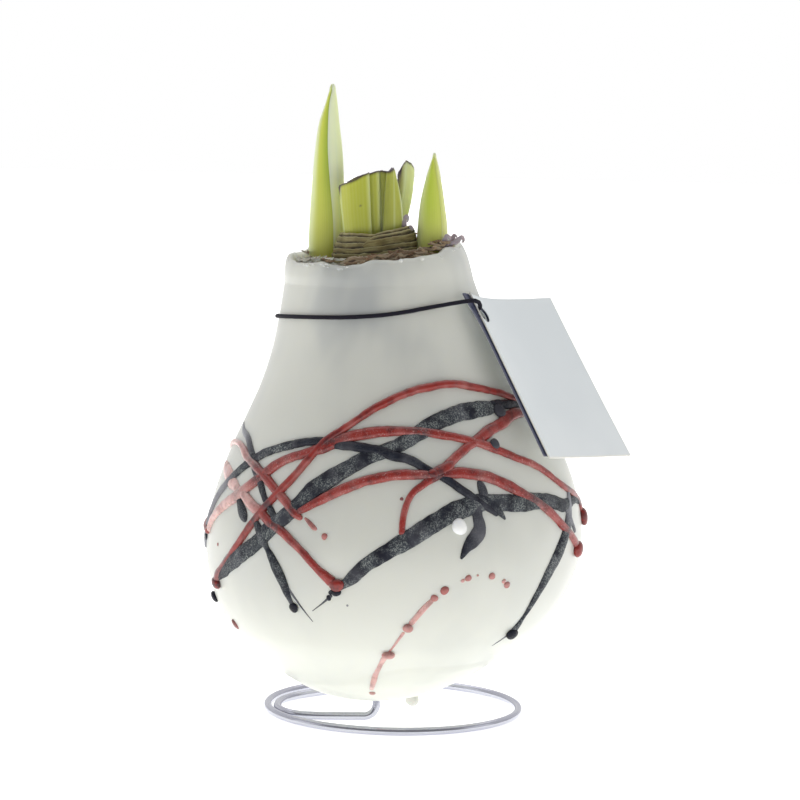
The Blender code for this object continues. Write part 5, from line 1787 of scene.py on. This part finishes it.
SKINS: dict[str, LeafSkin] = {
    "tall_leaf_left": LeafSkin(
        "tall leaf", (234, 238, 188), (208, 216, 84), (168, 192, 58), (212, 216, 96)),
    # painted light: the tall inner leaf's colours and veins are raised to near white for light glowing
    # through the thin leaf from behind
    "tall_leaf_right": LeafSkin(
        "tall inner leaf", (240, 252, 214), (242, 252, 202), (232, 240, 166), (232, 236, 154),
        vein=(252, 254, 236)),
    "short_leaf_left": LeafSkin(
        "short leaf", (214, 222, 112), (196, 214, 72), (208, 220, 96), (220, 224, 120)),
    "short_leaf_right": LeafSkin(
        "short inner leaf", (206, 218, 92), (216, 224, 122), (226, 230, 160), (222, 224, 146)),
    "cut_leaf_front": LeafSkin(
        "front cut leaf", (208, 210, 112), (192, 196, 60), (178, 184, 46), (188, 194, 62)),
    "cut_leaf_second": LeafSkin(
        "second cut leaf", (178, 182, 62), (180, 184, 58), (176, 182, 52), (172, 178, 54)),
    # the inner cut leaf's darker olive is partly its own colour and partly painted shade of the recess it
    # sits in
    "cut_leaf_inner": LeafSkin(
        "inner cut leaf", (158, 160, 46), (142, 146, 34), (156, 162, 50), (136, 140, 34)),
    # the right cut leaf runs from a dark olive, partly painted shade, to a pale edge that is partly a painted
    # highlight
    "cut_leaf_right": LeafSkin(
        "right cut leaf", (152, 156, 44), (184, 188, 76), (222, 226, 160), (190, 196, 84)),
    # the back cut leaf's brown at one edge is its inner face's own colour, darkened as painted shade
    "cut_leaf_back": LeafSkin(
        "back cut leaf", (100, 62, 26), (222, 228, 170), (214, 222, 140), (192, 198, 84), 0.64),
}

BROWN_SKIN = DryScale(
    "torn brown skin", (190, 168, 132), (150, 124, 94), (98, 74, 54), (226, 214, 188), (60, 44, 34))
PLUM_SKIN = DryScale(
    "plum curl", (180, 172, 178), (144, 128, 140), (96, 78, 92), (218, 212, 216), (76, 60, 76))
PALE_SKIN = DryScale(
    "pale membrane", (226, 226, 216), (206, 206, 194), (160, 158, 148), (236, 236, 230), (120, 116, 104))

# Each row of scraps: how many, the angle they gather round, their scatter, size, height and flatness.
BROWN_SHREDS = ((70, 14, 27, 0.8, 1.3), (34, 66, 16, 0.75, 1.6), (40, 170, 34, 0.9))
PALE_SHREDS = ((34, -60, 15, 1.0, 1.1, 0.1), (9, -22, 12, 0.5, 0.7, 0.1))


def main() -> None:
    """Build the bulb, piece by piece, then the studio round it."""
    form = BulbForm()
    wax, red, navy = WhiteWax().material(), RedWax().material(), NavyWax().material()
    dress(WaxCoat(form).build(), wax, "wax", "wax_coat")
    for colour, finish in ((RED, red), (NAVY, navy), (WHITE, wax)):
        dress(PouredThreads(form, colour).build(), finish, "wax")
    dress(WireStand().build(), BrightWire().material(), "steel_wire", "wire_stand")
    for sprout, name in ((TALL, "tall_leaf"), (SHORT, "short_leaf")):
        for side, word, slot in ((-1, "left", "green_leaf"), (1, "right", "pale_leaf")):
            node = f"{name}_{word}"
            dress(sprout.build(side, word), SKINS[node].material(), slot, node)
    for leaf, node in CUT_LEAVES:
        dress(leaf.build(), SKINS[node].material(), "green_leaf", node)
    neck = DryNeck(form)
    scale = DryScale().material()
    skin = BROWN_SKIN.material()
    dress(MeshMaker("neck_skin", [neck.floor()]).build(), skin, "dry_scales", "bulb")
    dress(MeshMaker("dry_scale_rings", neck.scales()).build(), scale, "dry_scales")
    scraps = [scrap for row in BROWN_SHREDS for scrap in neck.shreds(*row)] + neck.skins()
    dress(MeshMaker("torn_shreds", scraps).build(), skin, "dry_scales")
    dress(MeshMaker("plum_curls", neck.curls()).build(), PLUM_SKIN.material(), "dry_scales")
    pale = PALE_SKIN.material()
    films = [film for row in PALE_SHREDS for film in neck.shreds(*row)]
    dress(MeshMaker("pale_membranes", films).build(), pale, "dry_scales")
    dress(RootNub().build(), pale, "dry_scales")
    card = CardTag(form)
    stock = SatinCard().material()
    dress(card.build_card(True), stock, "card", "tag")
    dress(card.build_card(False), stock, "card")
    dress(card.build_elastic(), WovenElastic().material(), "elastic", "elastic_cord")
    studio = Studio()
    studio.floor()
    studio.camera()
    studio.light()


if __name__ == "__main__":
    logging.basicConfig(level=logging.INFO, format="%(message)s")
    main()
